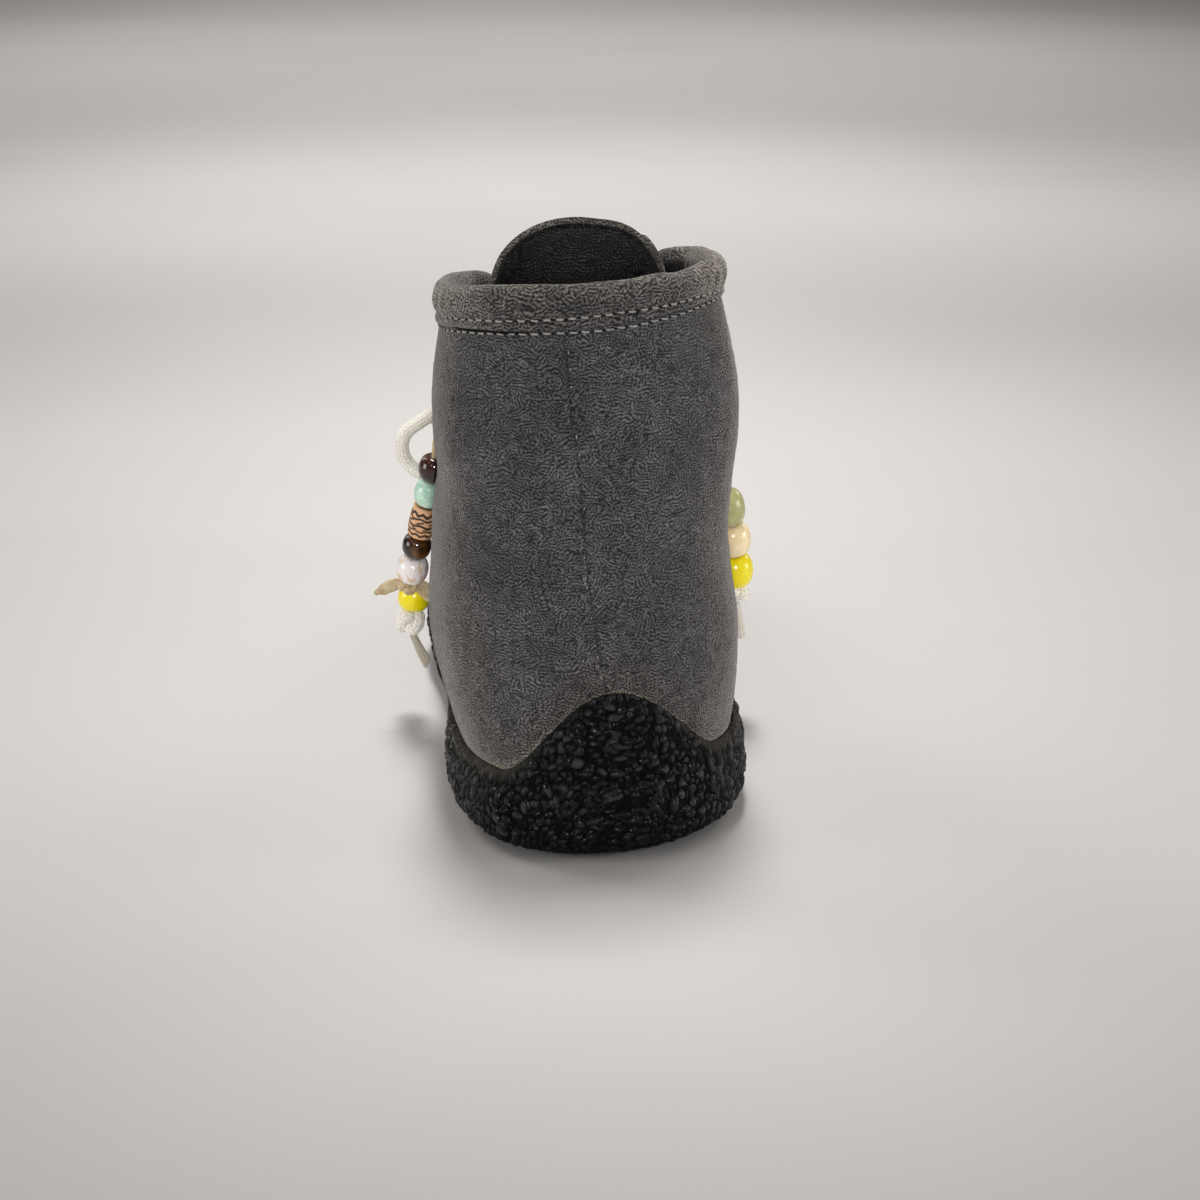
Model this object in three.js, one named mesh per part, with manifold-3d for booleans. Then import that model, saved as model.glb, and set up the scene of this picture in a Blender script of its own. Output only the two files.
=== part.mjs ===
// Left moc-toe boot, ankle height, for a size 42 foot: a hollow suede upper with a padded collar roll, a free
// tongue, a rubber cup sole that climbs to a peak behind the heel, an insole, and beaded laces.
//
// Frame: millimetres, +Z up, +Y towards the toe, +X towards the medial side (the right-hand side seen from behind).
// The origin is on the ground under the middle of the heel.
//
// Every form is drawn in upright rib planes that go round the boot: a fan behind the heel centre, parallel planes
// along the waist and instep, and a second fan in front of the throat. Three lines run round the boot through all
// ribs: the feather line (lower edge of the upper), the shoulder line (the moc seam at the toe) and the rim
// (collar and throat). A rib is a smooth curve from one line to the next.
import * as THREE from "three";
import { mergeVertices } from "three/addons/utils/BufferGeometryUtils.js";
import Module from "manifold-3d";

const wasm = await Module();
wasm.setup();

// ---------------------------------------------------------------- driving sizes
const WALL = 2.4; // suede and lining together
const GAP = 0.3; // between pieces that touch
const THROAT_Y = 103; // centre of the toe fan, at the foot of the throat
const ROLL_HIGH = 10; // collar roll, height
const ROLL_OUT = 1.6; // how far it stands proud outside
const ROLL_IN = 2.6; // and inside
const SOLE_FLAT_HEEL = 30; // the heel stands flat as far forward as this
const SOLE_FLAT_FORE = [101, 166]; // and the forefoot between these
const ARCH_LIFT = 2.6;
const TOE_SPRING = 9;
const TOE_Y = 252; // front of the outsole
const CUP_TOP_WALL = 1.7; // thickness of the cup's top edge
const CUP_BULGE = 4.6; // thickness of the cup where it is widest
const INSOLE_THICK = 3;
const LACE_R = 2.1;

// ---------------------------------------------------------------- the three lines
// y along the foot, lateral and medial distance from the centre line, z height, lean: direction of the rib there,
// 90 is upright and more than 90 leans inwards.
const FEATHER = [
  { at: "heel back", y: -35, lateral: 0, medial: 0, z: 15, lean: 88 },
  { at: "heel corner", y: -29, lateral: 20.5, medial: 20.5, z: 15, lean: 88 },
  { at: "heel side", y: -12, lateral: 32.5, medial: 34, z: 15, lean: 84 },
  { at: "heel front", y: 15, lateral: 36.6, medial: 38.6, z: 15, lean: 78 },
  { at: "waist", y: 50, lateral: 34.8, medial: 36, z: 14, lean: 70 },
  { at: "shank", y: 88, lateral: 36, medial: 37, z: 12.5, lean: 72 },
  { at: "lateral ball", y: 125, lateral: 39.6, medial: 42.5, z: 11, lean: 76 },
  { at: "ball", y: 155, lateral: 38.8, medial: 47.5, z: 10.8, lean: 76 },
  { at: "medial ball", y: 184, lateral: 34.6, medial: 48.5, z: 11.5, lean: 75 },
  { at: "toe side", y: 212, lateral: 26, medial: 44, z: 13.5, lean: 74 },
  { at: "toe corner", y: 234, lateral: 12.5, medial: 33, z: 16, lean: 73 },
  { at: "toe", y: 245, lateral: -10.5, medial: 10.5, z: 17.5, lean: 72 },
];
const SHOULDER = [
  { at: "heel back", y: -37, lateral: 0, medial: 0, z: 58, below: 92, above: 91 },
  { at: "heel corner", y: -31, lateral: 22.5, medial: 22.5, z: 58, below: 90, above: 91 },
  { at: "heel side", y: -12, lateral: 37.5, medial: 37.5, z: 58, below: 87, above: 92 },
  { at: "heel front", y: 18, lateral: 41.8, medial: 41, z: 58, below: 90, above: 92 },
  { at: "waist", y: 52, lateral: 41, medial: 39, z: 58, below: 98, above: 98 },
  { at: "instep side", y: 82, lateral: 37, medial: 36.5, z: 58.5, below: 110, above: 112 },
  { at: "throat foot", y: 108, lateral: 36, medial: 35, z: 60, below: 126, above: 130 },
  { at: "vamp", y: 148, lateral: 33, medial: 38.5, z: 57, below: 142, above: 156 },
  { at: "medial ball", y: 182, lateral: 29, medial: 39.5, z: 54, below: 146, above: 164 },
  { at: "apron side", y: 209, lateral: 20, medial: 35, z: 51.5, below: 148, above: 167 },
  { at: "apron corner", y: 225, lateral: 8.5, medial: 25.5, z: 50.3, below: 150, above: 169 },
  { at: "apron front", y: 232, lateral: -9, medial: 9, z: 50, below: 150, above: 170 },
];
const RIM = [
  { at: "collar back", y: -36, lateral: 0, medial: 0, z: 147.4, lean: 88 },
  { at: "collar corner", y: -30, lateral: 22, medial: 21.5, z: 147, lean: 91 },
  { at: "collar side", y: -12, lateral: 35, medial: 34.8, z: 145.6, lean: 96 },
  { at: "ankle", y: 12, lateral: 36.3, medial: 36.2, z: 143.3, lean: 98 },
  { at: "collar front", y: 32, lateral: 31.5, medial: 34.5, z: 140.5, lean: 102 },
  { at: "facing top", y: 46, lateral: 22, medial: 27, z: 136, lean: 108 },
  { at: "facing", y: 62, lateral: 17, medial: 21.5, z: 121, lean: 122 },
  { at: "facing middle", y: 78, lateral: 15.2, medial: 19, z: 106, lean: 132 },
  { at: "facing foot", y: 95, lateral: 13, medial: 16, z: 93, lean: 140 },
  { at: "throat side", y: 107, lateral: 8.5, medial: 10.5, z: 85.5, lean: 150 },
  { at: "throat", y: 113, lateral: -1, medial: 1, z: 82.5, lean: 163 },
];
// The sole's centre line bows a little to the lateral side between heel and toe, the shaft leans the same way, the
// back of the heel is set square to a line that swings inwards, and the lateral side of the collar is the lower one.
const BOW = 2.4, BOW_FROM = -10, BOW_LENGTH = 260, LEAN = 4.6, HEEL_SWING = 0.1, COLLAR_TILT = 0.08;
const sway = (y, z) =>
  -BOW * Math.sin((Math.PI * Math.min(BOW_LENGTH, Math.max(0, y - BOW_FROM))) / BOW_LENGTH) -
  LEAN * smooth(10, 110, z) * (1 - 0.75 * smooth(60, 150, y));
// Where the soft leather stands out (or draws in) on each side of the ankle: height, reach and how tall the swell is.
const FULLNESS = [
  { at: "medial ankle", side: 1, z: 116, out: 4.8, tall: 25 },
  { at: "medial heel", side: 1, z: 52, out: 1.6, tall: 20 },
  { at: "lateral crease", side: -1, z: 97, out: -1.5, tall: 12 },
  { at: "lateral ankle", side: -1, z: 128, out: 0.6, tall: 14 },
  { at: "lateral heel", side: -1, z: 46, out: 2, tall: 18 },
];
function fullness(side, y, z) {
  const along = smooth(-34, -6, y) * (1 - smooth(44, 84, y));
  return FULLNESS.filter((f) => f.side === side)
    .reduce((sum, f) => sum + f.out * Math.exp(-(((z - f.z) / f.tall) ** 2)) * along, 0);
}
const smooth = (a, b, x) => {
  const t = Math.min(1, Math.max(0, (x - a) / (b - a)));
  return t * t * (3 - 2 * t);
};

// A closed line through the rows: centripetal Catmull-Rom, sampled and then eased so that its curvature runs smoothly.
function closedLine(rows, ease) {
  const columns = Object.keys(rows[0]).filter((k) => !["at", "y", "lateral", "medial"].includes(k));
  const last = rows.length - 1;
  const ring = [
    { ...rows[0], x: rows[0].medial },
    ...rows.slice(1, last).map((row) => ({ ...row, x: -row.lateral })),
    { ...rows[last], x: rows[last].medial },
    ...rows.slice(1, last).reverse().map((row) => ({ ...row, x: row.medial })),
  ];
  const keys = ["x", "y", ...columns];
  const per = 32;
  let points = [];
  ring.forEach((row, i) => {
    const near = [-1, 0, 1, 2].map((k) => ring[(i + k + ring.length) % ring.length]);
    const gap = [0, 1, 2].map((k) => Math.sqrt(Math.hypot(near[k + 1].x - near[k].x, near[k + 1].y - near[k].y)));
    for (let s = 0; s < per; s++) {
      const t = s / per, made = {};
      for (const key of keys) {
        const [a, b, c, d] = near.map((n) => n[key]);
        const m1 = ((b - a) / gap[0] - (c - a) / (gap[0] + gap[1]) + (c - b) / gap[1]) * gap[1];
        const m2 = ((c - b) / gap[1] - (d - b) / (gap[1] + gap[2]) + (d - c) / gap[2]) * gap[1];
        made[key] = b + m1 * t + (3 * (c - b) - 2 * m1 - m2) * t * t + (2 * (b - c) + m1 + m2) * t * t * t;
      }
      points.push(made);
    }
  });
  const n = points.length;
  for (let pass = 0; pass < ease; pass++)
    points = points.map((p, i) => {
      const a = points[(i + n - 1) % n], b = points[(i + 1) % n], made = {};
      for (const key of keys) made[key] = (a[key] + 2 * p[key] + b[key]) / 4;
      return made;
    });
  return { points, keys };
}
const feather = closedLine(FEATHER, 60);
const shoulder = closedLine(SHOULDER, 60);
const rim = closedLine(RIM, 24);

// ---------------------------------------------------------------- rib planes
// w runs once round the boot: 0 heel centre, 3 toe centre by the lateral side, 6 heel centre again by the medial side.
function planeAt(w) {
  const turn = ((w % 6) + 6) % 6;
  const side = turn <= 3 ? -1 : 1;
  const q = turn <= 3 ? turn : 6 - turn;
  if (q <= 1) return { side, q, oy: 0, dx: side * Math.sin((q * Math.PI) / 2), dy: -Math.cos((q * Math.PI) / 2) };
  if (q <= 2) return { side, q, oy: (q - 1) * THROAT_Y, dx: side, dy: 0 };
  const a = ((3 - q) * Math.PI) / 2;
  return { side, q, oy: THROAT_Y, dx: side * Math.sin(a), dy: Math.cos(a) };
}

// Where a line crosses a rib plane: its distance r from the centre line, and its other columns there.
function crossing(line, plane) {
  const { points, keys } = line;
  let best = null;
  for (let i = 0; i < points.length; i++) {
    const a = points[i], b = points[(i + 1) % points.length];
    const ca = a.x * plane.dy - (a.y - plane.oy) * plane.dx;
    const cb = b.x * plane.dy - (b.y - plane.oy) * plane.dx;
    if (ca * cb > 0 || ca === cb) continue;
    const t = ca / (ca - cb), made = {};
    for (const key of keys) made[key] = a[key] + (b[key] - a[key]) * t;
    made.r = made.x * plane.dx + (made.y - plane.oy) * plane.dy;
    if (made.r > 0 && (!best || made.r > best.r)) best = made;
  }
  return best;
}

const rad = (deg) => (deg * Math.PI) / 180;
function hermite(a, b, leanA, leanB, t) {
  const chord = Math.hypot(b.r - a.r, b.z - a.z) * 1.05;
  const h = [2 * t ** 3 - 3 * t ** 2 + 1, t ** 3 - 2 * t ** 2 + t, -2 * t ** 3 + 3 * t ** 2, t ** 3 - t ** 2];
  return {
    r: h[0] * a.r + h[1] * chord * Math.cos(rad(leanA)) + h[2] * b.r + h[3] * chord * Math.cos(rad(leanB)),
    z: h[0] * a.z + h[1] * chord * Math.sin(rad(leanA)) + h[2] * b.z + h[3] * chord * Math.sin(rad(leanB)),
  };
}

const ribCache = new Map();
function ribAt(w) {
  if (!ribCache.has(w)) {
    const plane = planeAt(w);
    ribCache.set(w, { plane, f: crossing(feather, plane), s: crossing(shoulder, plane), r: crossing(rim, plane) });
  }
  return ribCache.get(w);
}

// Outer face of the upper: v is 0 at the feather line, 1 at the shoulder line and 2 at the rim.
function outer(w, v) {
  const { plane, f, s, r } = ribAt(w);
  const p = v <= 1 ? hermite(f, s, f.lean, s.below, v) : hermite(s, r, s.above, r.lean, v - 1);
  const reach = p.r + fullness(plane.side, plane.oy + plane.dy * p.r, p.z) * Math.abs(plane.dx);
  return swayed(plane.dx * reach, plane.oy + plane.dy * reach, p.z);
}
function swayed(x, y, z) {
  const tilt = COLLAR_TILT * x * smooth(95, 145, z) * (1 - smooth(30, 70, y));
  const swing = HEEL_SWING * x * (1 - smooth(-20, 60, y));
  return new THREE.Vector3(x + sway(y, z), y + swing, z + tilt);
}
const STEP = 0.02;
function normalAt(w, v) {
  const along = outer(w + STEP, v).sub(outer(w - STEP, v));
  const up = outer(w, Math.min(2, v + STEP)).sub(outer(w, Math.max(0, v - STEP)));
  return up.cross(along).normalize();
}
// A point on the upper's form, moved off its outer face by that distance.
const skin = (w, v, off) => outer(w, v).addScaledVector(normalAt(w, v), off);

function planes(rear, middle, front) {
  const half = [];
  for (let i = 0; i < rear; i++) half.push(i / rear);
  for (let i = 0; i < middle; i++) half.push(1 + i / middle);
  for (let i = 0; i < front; i++) half.push(3 - (1 - i / front) ** 1.35);
  return [...half, 3, ...half.slice(1).reverse().map((q) => 6 - q)];
}

// ---------------------------------------------------------------- solids
// A surface of rings, each ring a list of points round the section, closed both ways.
function torusOf(rings) {
  const n = rings.length, m = rings[0].length, position = [], index = [];
  rings.forEach((ring) => ring.forEach((p) => position.push(p.x, p.y, p.z)));
  for (let i = 0; i < n; i++)
    for (let j = 0; j < m; j++) {
      const a = i * m + j, b = ((i + 1) % n) * m + j, c = ((i + 1) % n) * m + ((j + 1) % m), d = i * m + ((j + 1) % m);
      index.push(a, b, c, a, c, d);
    }
  return indexed(position, index);
}
// A curved sheet: each ring is one face followed by the other face backwards, and the ends are closed edge to edge.
function sheetOf(rings) {
  const n = rings.length, m = rings[0].length, position = [], index = [];
  rings.forEach((ring) => ring.forEach((p) => position.push(p.x, p.y, p.z)));
  for (let i = 0; i < n - 1; i++)
    for (let j = 0; j < m; j++) {
      const a = i * m + j, b = (i + 1) * m + j, c = (i + 1) * m + ((j + 1) % m), d = i * m + ((j + 1) % m);
      index.push(a, b, c, a, c, d);
    }
  for (const [i, flip] of [[0, true], [n - 1, false]])
    for (let j = 0; j < m / 2 - 1; j++) {
      const a = i * m + j, b = a + 1, c = i * m + m - 1 - j, d = c - 1;
      index.push(...(flip ? [a, b, d, a, d, c] : [a, d, b, a, c, d]));
    }
  return indexed(position, index);
}
// The same, for sections that start and end on the boot's centre line and so need no inner wall.
function discOf(rings) {
  const n = rings.length, m = rings[0].length, position = [], index = [];
  rings.forEach((ring) => ring.forEach((p) => position.push(p.x, p.y, p.z)));
  for (let i = 0; i < n; i++)
    for (let j = 0; j < m - 1; j++) {
      const a = i * m + j, b = ((i + 1) % n) * m + j, c = ((i + 1) % n) * m + j + 1, d = i * m + j + 1;
      index.push(a, b, c, a, c, d);
    }
  return indexed(position, index);
}
// The same, open at its first and last ring, which get flat caps.
function barOf(rings) {
  const n = rings.length, m = rings[0].length, position = [], index = [];
  rings.forEach((ring) => ring.forEach((p) => position.push(p.x, p.y, p.z)));
  for (let i = 0; i < n - 1; i++)
    for (let j = 0; j < m; j++) {
      const a = i * m + j, b = (i + 1) * m + j, c = (i + 1) * m + ((j + 1) % m), d = i * m + ((j + 1) % m);
      index.push(a, b, c, a, c, d);
    }
  for (const [i, flip] of [[0, true], [n - 1, false]]) {
    const centre = rings[i].reduce((s, p) => s.add(p), new THREE.Vector3()).divideScalar(m);
    const k = position.length / 3;
    position.push(centre.x, centre.y, centre.z);
    for (let j = 0; j < m; j++) {
      const a = i * m + j, b = i * m + ((j + 1) % m);
      index.push(...(flip ? [k, a, b] : [k, b, a]));
    }
  }
  return indexed(position, index);
}
function indexed(position, index) {
  const g = new THREE.BufferGeometry();
  g.setAttribute("position", new THREE.BufferAttribute(new Float32Array(position), 3));
  g.setIndex(index);
  return closed(g);
}
// Merges shared vertices, drops faces that collapsed, and turns the faces outwards.
function closed(geometry) {
  const bare = new THREE.BufferGeometry().setAttribute("position", geometry.getAttribute("position"));
  if (geometry.index) bare.setIndex(geometry.index);
  const g = mergeVertices(bare, 1e-4);
  const p = g.getAttribute("position"), kept = [];
  let volume = 0;
  const at = (i) => new THREE.Vector3().fromBufferAttribute(p, i);
  for (let i = 0; i < g.index.count; i += 3) {
    const [a, b, c] = [0, 1, 2].map((k) => g.index.getX(i + k));
    if (a === b || b === c || a === c) continue;
    kept.push(a, b, c);
    volume += at(a).dot(at(b).cross(at(c)));
  }
  if (volume < 0) for (let i = 0; i < kept.length; i += 3) [kept[i + 1], kept[i + 2]] = [kept[i + 2], kept[i + 1]];
  g.setIndex(kept);
  return g;
}
function solid(geometry) {
  const g = closed(geometry);
  return new wasm.Manifold(
    new wasm.Mesh({
      numProp: 3,
      vertProperties: new Float32Array(g.getAttribute("position").array),
      triVerts: new Uint32Array(g.index.array),
    }),
  );
}
function geometryOf(manifold) {
  const m = manifold.getMesh(), n = m.numProp, position = [];
  for (let i = 0; i < m.numVert; i++) position.push(...m.vertProperties.subarray(i * n, i * n + 3));
  return indexed(position, Array.from(m.triVerts));
}

const boot = new THREE.Group();
function place(name, geometry, colour, roughness, metalness = 0) {
  const mesh = new THREE.Mesh(geometry, new THREE.MeshStandardMaterial({ color: colour, roughness, metalness }));
  mesh.name = name;
  boot.add(mesh);
  return mesh;
}

// ---------------------------------------------------------------- upper
const RIBS = planes(9, 9, 13);
const LEVELS = [0, 0.16, 0.33, 0.5, 0.68, 0.85, 1, 1.12, 1.28, 1.45, 1.62, 1.8, 2];
{
  const rings = RIBS.map((w) => [
    ...LEVELS.map((v) => skin(w, v, 0)),
    ...[...LEVELS].reverse().map((v) => skin(w, v, -WALL)),
  ]);
  place("upper", torusOf(rings), 0x4b4a4c, 0.95);
}

// ---------------------------------------------------------------- cup sole
// Underside of the outsole: flat heel, lifted waist, flat forefoot, toe spring.
function ground(y) {
  const arch = ARCH_LIFT * smooth(SOLE_FLAT_HEEL, 52, y) * (1 - smooth(78, SOLE_FLAT_FORE[0], y));
  const spring = y > SOLE_FLAT_FORE[1] ? TOE_SPRING * ((y - SOLE_FLAT_FORE[1]) / (TOE_Y - SOLE_FLAT_FORE[1])) ** 1.8 : 0;
  return arch + spring;
}
// Top edge of the cup: a tall peak behind the heel, low corners, level sides, and a low bumper at the toe.
const HEEL_PEAK = 47, CORNER_LATERAL = 22.5, CORNER_MEDIAL = 25.5, SIDE_TOP = 24, TOE_TOP = 33;
const PEAK_SHIFT = 0.07, PEAK_HALF = 0.62;
function cupTop(w) {
  const { side, q } = planeAt(w);
  const s = (side > 0 ? q : -q) - PEAK_SHIFT;
  const peak = Math.abs(s) < PEAK_HALF ? (0.5 + 0.5 * Math.cos((Math.PI * s) / PEAK_HALF)) ** 0.9 : 0;
  const corner = CORNER_LATERAL + (CORNER_MEDIAL - CORNER_LATERAL) * smooth(-0.6, 0.6, s);
  const base = corner + (SIDE_TOP - corner) * smooth(0.9, 1.6, q);
  return base + (HEEL_PEAK - corner) * peak + (TOE_TOP - SIDE_TOP) * smooth(2.2, 3, q);
}
// v on the rib where the upper's outer face has that height.
function levelAt(w, z) {
  let a = 0, b = 1;
  for (let i = 0; i < 30; i++) {
    const m = (a + b) / 2;
    if (outer(w, m).z < z) a = m;
    else b = m;
  }
  return (a + b) / 2;
}
// A point straight out from a feather point, at a height of its own.
function outward(w, off, z) {
  const { plane, f } = ribAt(w);
  const r = f.r + off;
  return swayed(plane.dx * r, plane.oy + plane.dy * r, z);
}
function centre(w, z) {
  return swayed(0, ribAt(w).plane.oy, z);
}
{
  const rings = RIBS.map((w) => {
    const f = ribAt(w).f;
    const top = levelAt(w, cupTop(w));
    const at = (k) => top * k;
    const low = (share, off) => {
      const p = outward(w, off, 0);
      const g = ground(p.y);
      p.z = g + (f.z - g) * share;
      return p;
    };
    const inner = [1, 0.75, 0.5, 0.25, 0].map((k) => skin(w, at(k), GAP));
    const wall = [0, 0.25, 0.5, 0.75, 1].map((k) =>
      skin(w, at(k), GAP + CUP_BULGE + (CUP_TOP_WALL - CUP_BULGE) * smooth(0, 1, k)),
    );
    const oy = ribAt(w).plane.oy;
    return [
      centre(w, floorZ(oy)),
      outward(w, GAP - 12, floorZ(outward(w, GAP - 12, 0).y)),
      outward(w, GAP, f.z - GAP),
      ...inner.slice(0, 4).reverse(),
      ...wall.slice(1).reverse(),
      low(0.95, GAP + CUP_BULGE),
      low(0.68, GAP + CUP_BULGE + 0.2),
      low(0.42, GAP + CUP_BULGE - 0.6),
      low(0.2, GAP + CUP_BULGE - 2.6),
      low(0.06, GAP + CUP_BULGE - 5.2),
      low(0, GAP + CUP_BULGE - 8),
      low(0, GAP - 14),
      low(0, (GAP - 14 - f.r) / 2),
      centre(w, ground(oy)),
    ];
  });
  let sole = solid(discOf(rings));
  // Shallow grooves across the heel and the forefoot.
  const grooves = [-20, -6, 8, 22, 118, 132, 146, 160];
  for (const y of grooves) {
    const bar = new THREE.BoxGeometry(160, 3, 3.6);
    bar.translate(0, y, 0);
    sole = sole.subtract(solid(bar));
  }
  place("outsole", geometryOf(sole), 0x17191d, 0.55);
}
function floorZ(y) {
  // the feather line's height on the centre line
  const rows = FEATHER;
  if (y <= rows[0].y) return rows[0].z - GAP;
  for (let i = 0; i < rows.length - 1; i++)
    if (y <= rows[i + 1].y) {
      const t = smooth(rows[i].y, rows[i + 1].y, y);
      return rows[i].z + (rows[i + 1].z - rows[i].z) * t - GAP;
    }
  return rows[rows.length - 1].z - GAP;
}

// ---------------------------------------------------------------- insole
{
  const inset = -(WALL + GAP + 0.3);
  const rings = RIBS.map((w) => {
    const oy = ribAt(w).plane.oy;
    const low = skin(w, 0, inset), mid = outward(w, GAP - 12, 0);
    low.z = Math.max(ribAt(w).f.z, floorZ(low.y)) + GAP;
    const high = skin(w, levelAt(w, low.z + INSOLE_THICK), inset);
    high.z = low.z + INSOLE_THICK;
    return [
      centre(w, floorZ(oy) + GAP),
      new THREE.Vector3(mid.x, mid.y, floorZ(mid.y) + GAP),
      low,
      high,
      new THREE.Vector3(mid.x, mid.y, floorZ(mid.y) + GAP + INSOLE_THICK),
      centre(w, floorZ(oy) + GAP + INSOLE_THICK),
    ];
  });
  place("insole", discOf(rings), 0x6d5f4f, 0.9);
}

// ---------------------------------------------------------------- collar roll
{
  const end = 1.46; // how far forward the roll runs on each side
  const stations = [];
  for (let i = 0; i <= 32; i++) stations.push(-end + (2 * end * i) / 32);
  const rings = stations.map((s) => {
    const w = (s + 6) % 6;
    const top = outer(w, 2), n = normalAt(w, 2);
    n.z = 0;
    n.normalize();
    const edge = Math.min(1, (end - Math.abs(s)) / 0.12);
    const grow = 0.55 + 0.45 * Math.sqrt(Math.max(0, 1 - (1 - edge) ** 2));
    const middle = top.clone().addScaledVector(n, (ROLL_OUT - WALL - ROLL_IN) / 2);
    const a = ((WALL + ROLL_OUT + ROLL_IN) / 2) * grow, b = (ROLL_HIGH / 2) * grow;
    middle.z = top.z + GAP + ROLL_HIGH / 2;
    const ring = [];
    for (let k = 0; k < 12; k++) {
      const t = (k / 12) * 2 * Math.PI + Math.PI / 12;
      const c = Math.cos(t), d = Math.sin(t);
      ring.push(
        middle.clone()
          .addScaledVector(n, a * Math.sign(c) * Math.abs(c) ** 0.8)
          .add(new THREE.Vector3(0, 0, b * Math.sign(d) * Math.abs(d) ** 0.8)),
      );
    }
    return ring;
  });
  place("collar_roll", barOf(rings), 0x555355, 0.95);
}

// ---------------------------------------------------------------- tongue
// It lies a clearance inside the facings, arches across the throat, and its rounded top stands free above the collar.
const TONGUE_THICK = 2.6, TONGUE_CLEAR = 0.9;
const TONGUE_TOP = { x: -2.6, y: 43, z: 161, half: 25.6, high: 20, wrap: 10 };
const ACROSS = [-1, -0.84, -0.68, -0.5, -0.34, -0.17, 0, 0.17, 0.34, 0.5, 0.68, 0.84, 1];
// A section of the tongue's outer face in the plane y, between the facings.
function archAt(y, m) {
  const q = 1 + y / THROAT_Y;
  const clear = TONGUE_CLEAR + (ROLL_IN + 0.7) * (1 - smooth(50, 68, y));
  const side = (w, v) => skin(w, v, -(WALL + clear));
  const left = side(q, 2), right = side(6 - q, 2);
  const chord = left.distanceTo(right) * m;
  const t0 = left.clone().sub(side(q, 1.97)).normalize().multiplyScalar(chord);
  const t1 = side(6 - q, 1.97).sub(right).normalize().multiplyScalar(chord);
  return ACROSS.map((u) => {
    if (u < -0.6) return side(q, 2 + (u + 0.6) * 0.62);
    if (u > 0.6) return side(6 - q, 2 - (u - 0.6) * 0.62);
    const t = (u + 0.6) / 1.2;
    return new THREE.Vector3()
      .addScaledVector(left, 2 * t ** 3 - 3 * t ** 2 + 1)
      .addScaledVector(t0, t ** 3 - 2 * t ** 2 + t)
      .addScaledVector(right, -2 * t ** 3 + 3 * t ** 2)
      .addScaledVector(t1, t ** 3 - t ** 2);
  });
}
// The same in front of the throat, under the vamp: the upper's inner face is found there from above.
function underVamp(y, half, drop) {
  return ACROSS.map((u) => {
    const x = u * half, reach = Math.max(Math.hypot(x, y - THROAT_Y), drop);
    const w = 3 + (Math.atan2(x, y - THROAT_Y) / Math.PI) * 2;
    let a = 1, b = 2;
    for (let i = 0; i < 24; i++) {
      const m = (a + b) / 2, { f, s, r } = ribAt(w), h = hermite(s, r, s.above, r.lean, m - 1);
      if (h.r > reach) a = m;
      else b = m;
    }
    const p = skin(w, a, -(WALL + TONGUE_CLEAR + 1.8)), q = swayed(x, y, p.z);
    return new THREE.Vector3(q.x, q.y, p.z);
  });
}
{
  const top = ACROSS.map((u) => {
    const a = (u * Math.PI) / 2;
    return new THREE.Vector3(
      TONGUE_TOP.x + TONGUE_TOP.half * Math.sin(a * 0.98),
      TONGUE_TOP.y - TONGUE_TOP.wrap * u * u,
      TONGUE_TOP.z - TONGUE_TOP.high * (1 - Math.cos(a) ** 0.9) - 9 * Math.max(0, Math.abs(u) - 0.8),
    );
  });
  const collar = archAt(51, 0.75);
  const free = [0.35, 0.7, 1].map((t) => collar.map((p, i) => p.clone().lerp(top[i], t)));
  const faces = [
    underVamp(124, 15, 0),
    underVamp(115, 16, 0),
    ...[102, 94, 86, 77, 68, 59].map((y) => archAt(y, 0.6)),
    collar,
    ...free,
  ];
  const rings = faces.map((face, i) => {
    const before = faces[Math.max(0, i - 1)], after = faces[Math.min(faces.length - 1, i + 1)];
    const inner = face.map((p, k) => {
      const along = after[k].clone().sub(before[k]);
      const across = face[Math.min(face.length - 1, k + 1)].clone().sub(face[Math.max(0, k - 1)]);
      return p.clone().addScaledVector(across.cross(along).normalize(), TONGUE_THICK);
    });
    return [...face, ...inner.reverse()];
  });
  place("tongue", sheetOf(rings), 0x4b4a4c, 0.95);
}

// ---------------------------------------------------------------- laces
// Three plain punched eyelet pairs. A bar runs between the lowest pair, two crosses climb the tongue, and the bow
// knot sits over the top pair. A strand either comes out of an eyelet and runs over the facing's edge, or goes under
// the facing and stops at its edge.
const EYELET_LEVEL = 1.84; // on the rib, a finger's width outside the rim
const EYELETS = { top: 57, middle: 74, low: 92 }; // y of each pair
const ON_TONGUE = 0.7; // between a strand and the tongue
const ON_FACING = 0.5; // and the facing
const STRANDS = [
  { node: "lace_bar", side: -1, from: EYELETS.low, to: EYELETS.low, out: true, over: true },
  { node: "lace_cross_lower", side: -1, from: 85, to: 79, out: false, over: false },
  { node: "lace_cross_lower", side: 1, from: 85, to: 79, out: false, over: false },
  { node: "lace_cross_upper", side: -1, from: EYELETS.middle, to: 60, out: true, over: false },
  { node: "lace_cross_upper", side: 1, from: EYELETS.middle, to: 60, out: true, over: false },
];
const wAt = (side, y) => (side < 0 ? 1 + y / THROAT_Y : 5 - y / THROAT_Y);
// From the eyelet up over the facing's edge.
function overEdge(side, y) {
  const w = wAt(side, y), near = LACE_R + ON_FACING;
  const inward = outer(w, 2).sub(outer(w, 1.95)).normalize().multiplyScalar(1.4);
  return [skin(w, EYELET_LEVEL, near), skin(w, 1.92, near + 0.1), skin(w, 2, near + 0.5).add(inward)];
}
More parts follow.
